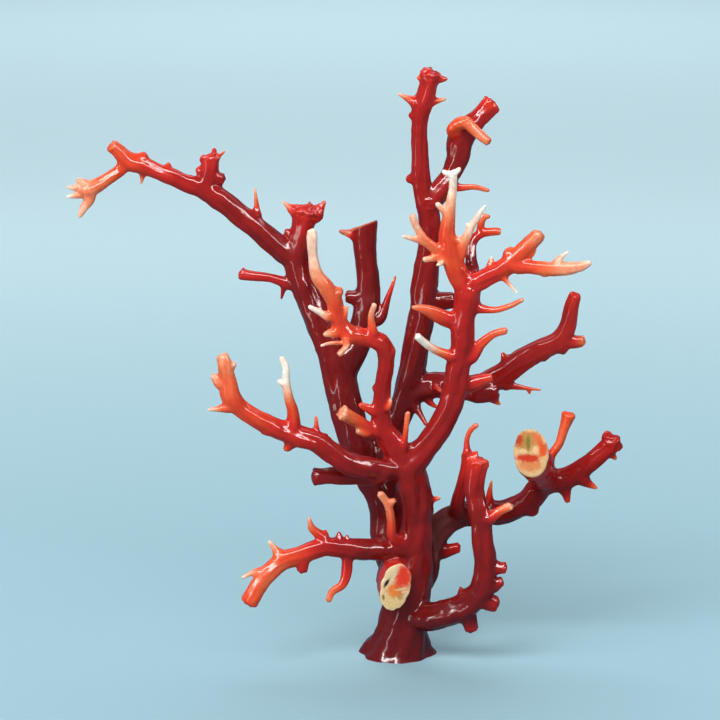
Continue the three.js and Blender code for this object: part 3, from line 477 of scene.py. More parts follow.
        "route": (
            (-11, 21.2, -4.5, 1.2), (-11, 18.6, -4.6, 1.1), (-11.2, 16, -5, 1), (-12, 14, -5.5, 0.8),
            (-14, 12.6, -5.5, 0.7), (-14.8, 10.6, -6, 0.5),
        ),
    },
    "low_right_stem": {
        "slot": "coral_red",
        "tones": (0.1, 0.11, 0.14, 0.18, 0.21, 0.23, 0.26, 0.3, 0.56),
        "route": (
            (1, 7.6, -1, 2.9), (7.6, 8, -4, 2.8), (12.6, 10, -6, 2.6), (16, 13.4, -7.5, 2.4),
            (16.6, 18, -8, 2.2), (16.2, 23, -8, 2.1), (15.6, 28, -8, 2.1), (14.4, 33, -7.5, 1.8),
            (14.8, 37, -7, 2.1), (15.2, 39.6, -7, 2.6),
        ),
        "twigs": (
            ((0.46, 0.54, 0.62, 0.7),
             (13.4, 39.8, 0, 0.6), (13, 43, 0, 0.55), (13.8, 45, 0, 0.55), (15.2, 46.2, 0, 0.6)),
            ((0.34, 0.48), (17.6, 17.4, 0, 1.2), (21, 17.4, 0, 1)),
            ((0.34, 0.5), (17.6, 13.6, 0, 1), (20.2, 15, 0, 0.9)),
            ((0.25, 0.42), (16.6, 11, 0, 1.7), (19.2, 10, 0, 1.4)),
            ((0.12, 0.46), (13.2, 7.4, 0, 1.3), (14, 4.6, 0, 1.2)),
            ((0.3,), (11.8, 11.6, 0, 0.5), (11.8, 13.8, 0, 0.3)),
            ((0.46, 0.66, 0.82), (16.8, 27, -0.5, 1), (19.6, 28.8, -1.5, 0.9), (22, 30, -2, 0.9)),
        ),
    },
    "low_right_arm": {
        "slot": "coral_dark_red",
        "shine": 0.25,
        # The dark first tones are partly the arm's own maroon and partly painted shade, where the trunk
        # shades the arm.
        "tones": (0.07, 0.07, 0.07, 0.08, 0.14, 0.2, 0.24, 0.28, 0.36),
        "route": (
            (2.6, 12, 0.8, 2.4), (4.8, 16.5, 1.8, 2.4), (5.4, 21, 2.8, 2.5), (7.6, 25.7, 4.3, 2.8),
            (11.2, 28, 5, 2.6), (15.6, 28.5, 5, 2.4), (20.6, 28.8, 4, 2.3), (24.8, 30.6, 3, 2.3),
            (28.6, 34.2, 2, 2.4), (33.2, 35.4, 1, 2.2), (37.2, 38, 0, 1.8), (40.2, 40.6, -0.5, 1.8),
            (42.4, 42.6, -1, 2),
        ),
        "knob": {
            "tones": (0.2, 0.42, 0.56),
            "path": (
                (28.8, 34.4, 1.5, 2.4, 2.5), (27.6, 37.1, -2, 3.1, 3.5),
                (25.6, 40.6, -7.5, 3.6, 4.7), (24.6, 42.3, -10, 3.7, 4.8),
            ),
            "lean": 0,
            "cut": ((25.6, 40.6, -7), (-0.2, -1, 0.12)),
        },
        "twigs": (
            ((0.4, 0.6, 0.78), (17.4, 30.2, -0.5, 0.8), (17.6, 33, -0.5, 0.5), (18, 35, -0.5, 0.2)),
            ((0.42, 0.6, 0.7, 0.68, 0.62),
             (29.4, 37, 0, 1), (29.8, 39.8, 0, 0.9), (31.4, 42.2, 0, 0.9), (32.4, 45.2, 0, 1),
             (33.6, 48.6, 0, 1.4)),
            ((0.42, 0.84), (36.6, 34.8, 0, 1), (39.2, 33.2, 0, 0.25)),
            ((0.4, 0.64), (32.6, 33.4, 0, 1), (33.2, 30.4, 0, 0.5)),
            ((0.86,), (41.8, 40.2, 0, 0.5), (43, 39, 0, 0.3)),
            ((0.3, 0.42), (25.8, 29.2, 0, 1.2), (27, 28.2, 0, 0.8)),
            ((0.3, 0.5), (7.6, 20.8, 0, 1.2), (11.6, 21.6, 0, 1)),
            ((0.42,), (41.2, 43.4, 0, 0.9), (41.2, 44.8, 0, 0.6)),
            ((0.4,), (43, 42.2, 0, 1), (44, 42.4, 0, 0.8)),
            ((0.18, 0.36, 0.46, 0.52),
             (11, 29.4, -2, 1.3), (11.9, 34, -4, 1.1), (12.6, 38, -5, 0.9), (12.4, 40.4, -5.5, 0.6)),
        ),
    },
}

SIGHT = np.array([0, math.cos(VIEW_PITCH), -math.sin(VIEW_PITCH)])
PICTURE_UP = np.array([0, math.sin(VIEW_PITCH), math.cos(VIEW_PITCH)])
EYE = np.array([VIEW_ACROSS, 0, 0]) + PICTURE_UP * VIEW_UP - SIGHT * VIEW_DISTANCE
NAMES = list(BOUGHS)


# Routes and limbs

def seen(across, up, depth):
    """The point at a depth on the line of sight through a picture point, and its enlargement."""
    on_picture = np.array([across, 0, 0]) + PICTURE_UP * up
    reach = (depth * DEPTH_SPREAD - EYE[1]) / (on_picture[1] - EYE[1])
    return EYE + (on_picture - EYE) * reach, reach


def smoothstep(low, high, value):
    """0 below a range, 1 above it, and a soft rise between."""
    share = np.clip((value - low) / (high - low), 0, 1)
    return share * share * (3 - 2 * share)


def smooth_run(points, step):
    """Points about a step apart on a smooth curve through a route, and their places on the route."""
    points = np.asarray(points, dtype=float)
    gaps = np.maximum(np.linalg.norm(np.diff(points, axis=0), axis=1), LEAST_GAP)
    roots = np.concatenate([gaps[:1], gaps, gaps[-1:]]) ** 0.5
    ends = np.vstack([2 * points[0] - points[1], points, 2 * points[-1] - points[-2]])
    run = []
    places = []
    for i, gap in enumerate(gaps):
        a, b, c, d = ends[i:i + 4]
        before, here, after = roots[i:i + 3]
        leave = ((b - a) / before - (c - a) / (before + here) + (c - b) / here) * here
        arrive = ((c - b) / here - (d - b) / (here + after) + (d - c) / after) * here
        count = max(LEAST_STEPS, round(gap / step))
        t = np.linspace(0, 1, count, endpoint=False)[:, None]
        bow = 2 * b - 2 * c + leave + arrive
        bend = 3 * c - 3 * b - 2 * leave - arrive
        run.append(((bow * t + bend) * t + leave) * t + b)
        places.append(i + t[:, 0])
    run.append(points[-1:])
    places.append([len(gaps)])
    return np.vstack(run), np.concatenate(places)


def rounding(share):
    """How far a limb has swollen to its full radius at a share of its rounded end."""
    return np.sqrt(np.clip(1 - (1 - np.clip(share, 0, 1)) ** 2, DOME_LEAST ** 2, 1))


def slimmed(radius):
    """A twig's radius, slimmer the thinner the twig is."""
    return radius * (1 - TWIG_SLIM * (1 - smoothstep(SLIM_FROM, SLIM_TO, radius)))


def draw_limb(bough, route, tones, flat_end=False, host=0):
    """A limb along a route: its spine, radii, tones and lengths. A twig spreads at its host's skin."""
    knots = [seen(*point[:3]) for point in route]
    radii = [point[3] * reach for point, (at, reach) in zip(route, knots)]
    stops = [at for at, reach in knots]
    if host:
        radii = [slimmed(radius) for radius in radii]
    else:
        back = (stops[0] - stops[1]) / np.linalg.norm(stops[0] - stops[1])
        stops.insert(0, stops[0] + back * radii[0] * BURIED)
        radii.insert(0, radii[0])
    spine, places = smooth_run(stops, STEP)
    radius = np.maximum(np.interp(places, range(len(radii)), radii), LEAST_RADIUS) + SWELL
    steps = np.linalg.norm(np.diff(spine, axis=0), axis=1)
    along = np.concatenate([[0], np.cumsum(steps)])
    tone = np.interp(along / along[-1], np.linspace(0, 1, len(tones)), tones)
    skin = radius.copy()
    if host:
        flare = FLARE + (STOUT_FLARE - FLARE) * smoothstep(FLARE_FROM, FLARE_TO, radii[0])
        flare = min(flare, max(0, FLARE_SHARE * host / radii[0] - 1))
        past = np.maximum(along - host, 0) / (FLARE_REACH * (radii[0] + FLARE_MARGIN))
        skin *= 1 + flare * np.exp(-past)
    else:
        skin *= rounding(along / (DOME * radius[0]))
    if not flat_end:
        dome = BLUNT_DOME if radius[-1] > BLUNT_FROM else DOME
        skin *= rounding((along[-1] - along) / (dome * radius[-1]))
    return {
        "bough": bough, "spine": spine, "radius": radius, "skin": skin,
        "tone": tone, "along": along, "cut": None,
    }


def root_of(twig, tones, spines):
    """A twig's route and tones with its root added on its bough, and the radius there."""
    across, up = twig[0][:2]
    known = np.vstack(spines)
    x, z, depth, radius, tone = known[np.argmin(np.hypot(known[:, 0] - across, known[:, 1] - up))]
    root = (x, z, depth, twig[0][3] * ROOT_SWELL)
    shifted = [(point[0], point[1], depth + point[2], point[3]) for point in twig]
    return [root] + shifted, (tone,) + tuple(tones), radius


def spine_with_tone(route, tones):
    """The sample points of a route, still as seen, with the radius and tone at each."""
    run, places = smooth_run([point[:3] for point in route], STEP)
    radius = np.interp(places, range(len(route)), [point[3] for point in route])
    tone = np.interp(np.linspace(0, 1, len(run)), np.linspace(0, 1, len(tones)), tones)
    return np.column_stack([run, radius, tone])


def stub_route(knob, place):
    """One round stub of an oval knob, at a place from -1 to 1 along the oval's longer axis."""
    route = []
    for across, up, depth, narrow, long in knob["path"]:
        shift = place * math.sqrt(long ** 2 - narrow ** 2)
        radius = narrow * math.sqrt(1 - place ** 2)
        lean = knob["lean"]
        route.append((across + shift * math.sin(lean), up + shift * math.cos(lean), depth, radius))
    return route


def draw_bough(number, shape):
    """All limbs of one bough: main route, knob, then twigs."""
    main = draw_limb(number, shape["route"], shape["tones"], "cut" in shape)
    main["cut"] = shape.get("cut")
    limbs = [main]
    spines = [spine_with_tone(shape["route"], shape["tones"])]
    if "knob" in shape:
        for place in KNOB_STUBS:
            stub = draw_limb(number, stub_route(shape["knob"], place), shape["knob"]["tones"], True)
            stub["cut"] = shape["knob"]["cut"]
            limbs.append(stub)
    for tones, *twig in shape.get("twigs", ()):
        route, tones, host = root_of(twig, tones, spines)
        limbs.append(draw_limb(number, route, tones, host=host))
        spines.append(spine_with_tone(route, tones))
    return limbs


def cut_plane(cut):
    """The middle and the outward direction of a sawn face."""
    face, facing = cut
    outward = np.array(facing, dtype=float)
    return seen(*face)[0], outward / np.linalg.norm(outward)


# Shaping the skin

def pick(piece):
    """Makes one object the only selected and active one."""
    bpy.ops.object.select_all(action="DESELECT")
    piece.select_set(True)
    bpy.context.view_layer.objects.active = piece


def profile(ridges):
    """A closed ring with low uneven ridges, drawn once and swept along limbs."""
    bpy.ops.object.select_all(action="DESELECT")
    bpy.ops.curve.primitive_nurbs_circle_add()
    ring = bpy.context.object
    line = ring.data.splines[0]
    line.type = "POLY"
    line.points.add(RING_CORNERS - len(line.points))
    corners = []
    for i in range(RING_CORNERS):
        turn = 2 * math.pi * i / RING_CORNERS
        radius = 1 + sum(height * math.cos(count * turn + start) for count, height, start in ridges)
        corners += [radius * math.cos(turn), radius * math.sin(turn), 0, 1]
    line.points.foreach_set("co", corners)
    line.use_cyclic_u = True
    return ring


def lay_limb(limb, ring, number):
    """Sweeps the ring along a limb's spine and cuts its sawn end."""
    bpy.ops.object.select_all(action="DESELECT")
    bpy.ops.curve.primitive_nurbs_path_add()
    tube = bpy.context.object
    line = tube.data.splines[0]
    line.type = "POLY"
    count = len(limb["spine"])
    line.points.add(count - len(line.points))
    line.points.foreach_set("co", np.column_stack([limb["spine"], np.ones(count)]).ravel())
    line.points.foreach_set("radius", limb["skin"])
    line.points.foreach_set("tilt", number * TURN_EACH + limb["along"] * TWIST)
    tube.data.bevel_mode = "OBJECT"
    tube.data.bevel_object = ring
    tube.data.use_fill_caps = True
    bpy.ops.object.convert(target="MESH")
    if limb["cut"]:
        middle, outward = cut_plane(limb["cut"])
        bpy.ops.object.mode_set(mode="EDIT")
        bpy.ops.mesh.select_all(action="SELECT")
        bpy.ops.mesh.bisect(plane_co=middle, plane_no=outward, use_fill=True, clear_outer=True)
        bpy.ops.object.mode_set(mode="OBJECT")
    return bpy.context.object


def melt(tubes):
    """Joins the limbs and melts them into one closed skin."""
    pick(tubes[0])
    for tube in tubes:
        tube.select_set(True)
    bpy.ops.object.join()
    skin = bpy.context.object
    change = skin.modifiers.new("melt", "REMESH")
    change.mode = "VOXEL"
    change.voxel_size = VOXEL
    change.use_smooth_shade = True
    bpy.ops.object.modifier_apply(modifier="melt")
    return skin


def points_of(mesh):
    """The positions of a mesh's points."""
    flat = np.empty(len(mesh.vertices) * 3)
    mesh.vertices.foreach_get("co", flat)
    return flat.reshape(-1, 3)


def read_skin(points, limbs):
    """For each point of the skin: nearest limb, blended tone and radius, grain and fork fade."""
    count = len(points)
    best = np.full(count, FAR_OFF)
    second = np.full(count, FAR_OFF)
    owner = np.zeros(count, dtype=int)
    weight = np.zeros(count)
    tone = np.zeros(count)
    girth = np.zeros(count)
    grain = np.zeros((count, 3))
    snapped = np.zeros(count)
    for number, limb in enumerate(limbs):
        reach = limb["radius"].max() + REACH
        low = limb["spine"].min(axis=0) - reach
        high = limb["spine"].max(axis=0) + reach
        near = np.flatnonzero(np.all((points > low) & (points < high), axis=1))
        for part in np.array_split(near, len(near) // BATCH + 1):
            if not len(part):
                continue
            spot = points[part]
            apart = (spot ** 2).sum(axis=1)[:, None] + (limb["spine"] ** 2).sum(axis=1)
            apart = np.sqrt(np.maximum(apart - 2 * spot @ limb["spine"].T, 0))
            place = np.argmin(apart - limb["radius"], axis=1)
            gap = apart[np.arange(len(part)), place] - limb["radius"][place]
            pull = np.exp(-gap / TONE_BLEND)
            weight[part] += pull
            tone[part] += pull * limb["tone"][place]
            girth[part] += pull * limb["radius"][place]
            closer = gap < best[part]
            second[part] = np.where(closer, best[part], np.minimum(second[part], gap))
            won = part[closer]
            best[won] = gap[closer]
            owner[won] = number
            stood = place[closer]
            aside = points[won] - limb["spine"][stood]
            run = limb["spine"][-1] - limb["spine"][0]
            run = run / np.linalg.norm(run)
            stretched = run * (limb["along"][stood] / GRAIN_STRETCH)[:, None]
            grain[won] = aside + stretched + number * GRAIN_SHIFT
            last = limb["radius"][-1]
            left = (limb["along"][-1] - limb["along"][stood]) / last
            blunt = last > SNAP_FROM and not limb["cut"]
            snapped[won] = (1 - smoothstep(SNAP_ROUGH, SNAP_SOUND, left)) * blunt
    return {
        "owner": owner, "tone": tone / weight, "girth": girth / weight,
        "grain": grain, "fork": second - best, "snapped": snapped,
    }


def weigh(skin, name, weights):
    """Stores a weight for every point as a vertex group."""
    group = skin.vertex_groups.new(name=name)
    levels = np.round(weights * WEIGHT_LEVELS).astype(int)
    for level in range(1, WEIGHT_LEVELS + 1):
        chosen = np.flatnonzero(levels == level)
        if len(chosen):
            group.add(chosen.tolist(), level / WEIGHT_LEVELS, "REPLACE")


def soften(skin, name, rounds, group=""):
    """Rubs the skin down, all over or where a group has weight."""
    change = skin.modifiers.new(name, "SMOOTH")
    change.factor = SMOOTH_FACTOR
    change.iterations = rounds
    change.vertex_group = group
    bpy.ops.object.modifier_apply(modifier=name)


def roughen(skin, name, size, height, group=""):
    """Raises and sinks the skin by a cloudy pattern."""
    pattern = bpy.data.textures.new(name, "CLOUDS")
    pattern.noise_scale = size
    pattern.noise_depth = CLOUD_DEPTH
    change = skin.modifiers.new(name, "DISPLACE")
    change.texture = pattern
    change.texture_coords = "LOCAL"
    change.strength = height
    change.vertex_group = group
    bpy.ops.object.modifier_apply(modifier=name)


def cut_foot(skin):
    """Saws the foot flat on the ground."""
    pick(skin)
    bpy.ops.object.mode_set(mode="EDIT")
    bpy.ops.mesh.select_all(action="SELECT")
    bpy.ops.mesh.bisect(plane_co=(0, 0, 0), plane_no=(0, 0, -1), use_fill=True, clear_outer=True)
    bpy.ops.object.mode_set(mode="OBJECT")


def saw_marks(points, limbs, owner, depth=SAW_DEPTH):
    """For each point: how much it lies on a sawn face, and where on the face."""
    marks = np.zeros((len(points), 3))
    boughs = np.array([limb["bough"] for limb in limbs])[owner]
    for limb in limbs:
        if not limb["cut"]:
            continue
        middle, outward = cut_plane(limb["cut"])
        across = np.cross(outward, np.array([0, 0, 1]))
        across /= np.linalg.norm(across)
        if across[0] < 0:
            across = -across
        rise = np.cross(across, outward)
        if rise[2] < 0:
            rise = -rise
        off = points - middle
        below = -off @ outward
        wide = np.linalg.norm(off + np.outer(below, outward), axis=1)
        near = (wide < SAW_WIDTH) & (boughs == limb["bough"])
        on_face = (1 - smoothstep(SAW_EDGE, depth, below)) * near
        found = np.column_stack([on_face, off @ across, off @ rise])
        marks = np.where(on_face[:, None] > marks[:, :1], found, marks)
    return marks


def keep_on_skin(mesh, name, kind, domain, values):
    """Stores values on the mesh under a name."""
    layer = mesh.attributes.new(name, kind, domain)
    key = "vector" if kind == "FLOAT_VECTOR" else "value"
    layer.data.foreach_set(key, np.ascontiguousarray(values, dtype=np.float32).ravel())


def tidy_labels(mesh, labels):
    """Gives stray faces and small islands of a label the label around them."""
    sides = np.empty(len(mesh.loops), dtype=np.int64)
    mesh.loops.foreach_get("edge_index", sides)
    starts = np.empty(len(mesh.polygons), dtype=np.int64)
    mesh.polygons.foreach_get("loop_start", starts)
    totals = np.empty(len(mesh.polygons), dtype=np.int64)
    mesh.polygons.foreach_get("loop_total", totals)
    faces = np.repeat(np.arange(len(starts)), totals)
    order = np.argsort(sides, kind="stable")
    ordered = sides[order]
    pair = np.flatnonzero(ordered[1:] == ordered[:-1])
    one = faces[order[pair]]
    other = faces[order[pair + 1]]
    return islands_joined(smoothed_labels(labels, one, other), one, other)


def smoothed_labels(labels, one, other):
    """Moves each face that has most neighbours under another label to that label."""
    count = len(labels)
    for turn in range(LABEL_ROUNDS):
        votes = np.zeros((count, len(NAMES)), dtype=np.int16)
        np.add.at(votes, (one, labels[other]), 1)
        np.add.at(votes, (other, labels[one]), 1)
        most = votes.argmax(axis=1)
        mine = votes[np.arange(count), labels]
        labels = np.where(votes[np.arange(count), most] >= mine + LABEL_LEAD, most, labels)
    return labels


def islands(labels, one, other):
    """A number for each face, the same for all faces of one label that hang together."""
    island = np.arange(len(labels))
    same = labels[one] == labels[other]
    one, other = one[same], other[same]
    while True:
        first, second = island[one], island[other]
        parted = first != second
        if not parted.any():
            return island
        one, other = one[parted], other[parted]
        first, second = first[parted], second[parted]
        np.minimum.at(island, np.maximum(first, second), np.minimum(first, second))
        while not np.array_equal(island, island[island]):
            island = island[island]


def islands_joined(labels, one, other):
    """Keeps the largest island of each label and hands the others to their neighbours."""
    for turn in range(ISLAND_ROUNDS):
        island = islands(labels, one, other)
        sizes = np.bincount(island, minlength=len(labels))
        main = np.zeros(len(labels), dtype=bool)
        for label in range(len(NAMES)):
            mine = np.flatnonzero(labels == label)
            main |= island == island[mine[np.argmax(sizes[island[mine]])]]
        if main.all():
            break
        grow = ~main[one] & main[other]
        labels[one[grow]] = labels[other[grow]]
        grow = ~main[other] & main[one]
        labels[other[grow]] = labels[one[grow]]
    return labels


def split_boughs(skin, labels):
    """Parts the skin at the forks into one piece per bough and closes each piece."""
    mesh = skin.data
    mesh.materials.clear()
    for name in NAMES:
        mesh.materials.append(bpy.data.materials.new("part " + name))
    mesh.polygons.foreach_set("material_index", labels)
    bpy.ops.object.mode_set(mode="EDIT")
    bpy.ops.mesh.select_all(action="SELECT")
    bpy.ops.mesh.separate(type="MATERIAL")
    bpy.ops.object.mode_set(mode="OBJECT")
    pieces = {}
    for piece in list(bpy.context.selected_objects):
        name = piece.material_slots[piece.data.polygons[0].material_index].material.name
        pieces[name.removeprefix("part ")] = piece
    for name, piece in pieces.items():
        pick(piece)
        bpy.ops.object.mode_set(mode="EDIT")
        bpy.ops.mesh.select_all(action="SELECT")
        bpy.ops.mesh.fill_holes(sides=0)
        fill_rest(piece)
        bpy.ops.mesh.select_mode(type="FACE")
        bpy.ops.mesh.select_face_by_sides(number=CAP_SIDES, type="GREATER", extend=False)
        bpy.ops.mesh.poke()
        bpy.ops.object.mode_set(mode="OBJECT")
        seat_normals(piece)
    return pieces


def fill_rest(piece):
    """Fills a loop that is still open after the plain filling, and turns its faces outward."""
    bpy.ops.mesh.select_mode(type="EDGE")
    bpy.ops.mesh.select_non_manifold(
        extend=False, use_wire=False, use_multi_face=False, use_non_contiguous=False, use_verts=False)
    if piece.data.total_edge_sel:
        bpy.ops.mesh.fill()
        bpy.ops.mesh.select_all(action="SELECT")
        bpy.ops.mesh.normals_make_consistent(inside=False)


def seat_normals(piece):
    """Shades a piece as the whole skin was shaded, so that no seam shows at a fork."""
    mesh = piece.data
    stored = np.empty(len(mesh.loops) * 3, dtype=np.float32)
    mesh.attributes["skin_normal"].data.foreach_get("vector", stored)
    mesh.normals_split_custom_set(stored.reshape(-1, 3).tolist())
    mesh.attributes.remove(mesh.attributes["skin_normal"])


def shape_branch():
    """The whole branch as one piece per bough."""
    limbs = []
    for number, shape in enumerate(BOUGHS.values()):
        limbs += draw_bough(number, shape)
    ridged = profile(LIMB_RIDGES)
    plain = profile(KNOB_RIDGES)
    tubes = []
    for number, limb in enumerate(limbs):
        tubes.append(lay_limb(limb, plain if limb["cut"] else ridged, number))
    bpy.data.objects.remove(ridged)
    bpy.data.objects.remove(plain)
    skin = melt(tubes)
    points = points_of(skin.data)
    read = read_skin(points, limbs)
    rough = 1 - smoothstep(0, 1, saw_marks(points, limbs, read["owner"], SAW_CLEAR)[:, 0])
    weigh(skin, "stout", smoothstep(STOUT_FROM, STOUT_TO, read["girth"]) * rough)
    forks = (1 - smoothstep(FORK_FROM, FORK_WIDTH, read["fork"])) * rough
    weigh(skin, "forks", forks)
    weigh(skin, "stout forks", forks * smoothstep(STOUT_TO, STOUT_FORKS, read["girth"]))
    weigh(skin, "snapped", read["snapped"])
    soften(skin, "rub down", STOUT_SMOOTHING, "stout")
    soften(skin, "fill forks", FORK_SMOOTHING, "forks")
    soften(skin, "fill stout forks", STOUT_FORK_SMOOTHING, "stout forks")
    roughen(skin, "lumps", LUMP_SIZE, LUMP_HEIGHT, "stout")
    roughen(skin, "knots", KNOT_SIZE, KNOT_HEIGHT, "stout")
    roughen(skin, "ripples", RIPPLE_SIZE, RIPPLE_HEIGHT)
    roughen(skin, "snapped ends", SNAP_SIZE, SNAP_HEIGHT, "snapped")
    soften(skin, "polish", ALL_SMOOTHING)
    skin.vertex_groups.clear()
    cut_foot(skin)
    bpy.ops.object.shade_smooth_by_angle(angle=SHADE_ANGLE)
    return paint_and_split(skin, limbs)


def paint_and_split(skin, limbs):
    """Stores tones, grain and saw marks on the skin, then parts it."""
    mesh = skin.data
    points = points_of(mesh)
    read = read_skin(points, limbs)
    keep_on_skin(mesh, "tone", "FLOAT", "POINT", read["tone"])
    keep_on_skin(mesh, "grain", "FLOAT_VECTOR", "POINT", read["grain"])
    keep_on_skin(mesh, "fade", "FLOAT", "POINT", smoothstep(FADE_FROM, FORK_FADE, read["fork"]))
    keep_on_skin(mesh, "sawn", "FLOAT_VECTOR", "POINT", saw_marks(points, limbs, read["owner"]))
    normals = np.empty(len(mesh.loops) * 3, dtype=np.float32)
    mesh.corner_normals.foreach_get("vector", normals)
    keep_on_skin(mesh, "skin_normal", "FLOAT_VECTOR", "CORNER", normals)
    first = np.empty(len(mesh.polygons), dtype=np.int64)
    mesh.polygons.foreach_get("loop_start", first)
    tips = np.empty(len(mesh.loops), dtype=np.int64)
    mesh.loops.foreach_get("vertex_index", tips)
    boughs = np.array([limb["bough"] for limb in limbs])
    labels = tidy_labels(mesh, boughs[read["owner"]][tips[first]])
    pick(skin)
    skin.scale = (MM, MM, MM)
    bpy.ops.object.transform_apply(scale=True)
    return split_boughs(skin, labels)


# Finishes

def linear(red, green, blue):
    """A screen colour, 0 to 255, as the light that it stands for."""
    shares = [channel / 255 for channel in (red, green, blue)]
    light = [s / 12.92 if s <= 0.04045 else ((s + 0.055) / 1.055) ** 2.4 for s in shares]
    return (*light, 1)


def add(tree, kind, settings=None, values=None):
    """A shader node with its settings and the values of its unlinked inputs."""
    node = tree.nodes.new(kind)
    for name, value in (settings or {}).items():
        setattr(node, name, value)
    for name, value in (values or {}).items():
        node.inputs[name].default_value = value
    return node


def sums(tree, operation, first, second):
    """A math node; each side is a number or an output."""
    node = add(tree, "ShaderNodeMath", {"operation": operation})
    for place, side in enumerate((first, second)):
        if isinstance(side, (int, float)):
            node.inputs[place].default_value = side
        else:
            tree.links.new(side, node.inputs[place])
    return node.outputs[0]


def spread(tree, value, low, high, to_low=0.0, to_high=1.0):
    """A value stretched from one range to another, with soft ends."""
    node = add(tree, "ShaderNodeMapRange", {"interpolation_type": "SMOOTHSTEP"})
    for name, number in zip(("From Min", "From Max", "To Min", "To Max"), (low, high, to_low, to_high)):
        node.inputs[name].default_value = number
    tree.links.new(value, node.inputs["Value"])
    return node.outputs["Result"]


# Where a colour mix node has its share, its two colours and its result.
MIX_INPUTS = (0, 6, 7)
MIX_RESULT = 2


def blend(tree, share, under, over, way="MIX"):
    """A colour mixed over another; each is a colour or an output."""
    node = add(tree, "ShaderNodeMix", {"data_type": "RGBA", "blend_type": way})
    for place, side in zip(MIX_INPUTS, (share, under, over)):
        if isinstance(side, (int, float, tuple)):
            node.inputs[place].default_value = side
        else:
            tree.links.new(side, node.inputs[place])
    return node.outputs[MIX_RESULT]


def noise(tree, where, scale, detail=2.0, rough=0.5):
    """A cloudy pattern from 0 to 1."""
    node = add(tree, "ShaderNodeTexNoise", None, {"Scale": scale, "Detail": detail, "Roughness": rough})
    tree.links.new(where, node.inputs["Vector"])
    return node.outputs["Fac"]


def around_nought(tree, pattern):
    """A pattern from 0 to 1, moved to swing about 0."""
    return sums(tree, "SUBTRACT", pattern, 0.5)


def in_millimetres(tree, place):
    """A place in metres, as the patterns take it."""
    spot = add(tree, "ShaderNodeVectorMath", {"operation": "SCALE"}, {"Scale": 1 / MM})
    tree.links.new(place, spot.inputs[0])
    return spot.outputs[0]


def new_group(name, inputs, outputs):
    """An empty node group with its sockets; returns the group and its two ends."""
    tree = bpy.data.node_groups.new(name, "ShaderNodeTree")
    for label, kind in inputs:
        tree.interface.new_socket(label, in_out="INPUT", socket_type=kind)
    for label, kind in outputs:
        tree.interface.new_socket(label, in_out="OUTPUT", socket_type=kind)
    return tree, tree.nodes.new("NodeGroupInput"), tree.nodes.new("NodeGroupOutput")


# Polished coral: the colour at each tone, then the patterns laid over it.
# Each pattern is its scale, detail and roughness for the noise node.
TONE_STEPS = (
    (0.00, (84, 12, 12)), (0.12, (97, 18, 18)), (0.25, (129, 22, 20)), (0.40, (166, 27, 23)),
    (0.52, (201, 42, 29)), (0.62, (221, 70, 36)), (0.72, (231, 106, 62)), (0.82, (240, 153, 114)),
    (0.92, (244, 205, 180)), (1.00, (248, 238, 224)),
)
CLOUDS = (0.22, 3)
CLOUD_TONE = 0.14
STREAKS = (1.6, 3, 0.6)
STREAK_TONE = 0.16
STREAK_HEIGHT = 0.5
CHALK = (0.9, 3, 0.6)
CHALK_FROM = 0.58
CHALK_TO = 0.85
CHALK_TONE = 0.2
PITS = (1.5, 2, 0.6)
PIT_FROM = 0.64
PIT_TO = 0.76
PIT_COLOUR = (110, 30, 24)
PIT_SHARE = 0.25
PIT_DEPTH = 0.15
GRIT = (2.2, 3)
GRIT_HEIGHT = 0.3
SMUDGES = (0.8, 3)
SMUDGE_DULLNESS = 0.1
# Red coral is polished, pale coral is dull, and so is the darkest.
POLISHED = 0.1
DULL = 0.44
DULL_FROM = 0.55
DULL_TO = 0.95
DARK_DULL = 0.65
DARK_TONE = 0.07
RED_TONE = 0.095
RELIEF_FROM = 0.6
RELIEF_TO = 0.95
POLISHED_RELIEF = 0.1
RELIEF_STRENGTH = 0.5
RELIEF_DEPTH = 0.25
CORAL_IOR = 1.5
SHINE = 0.5


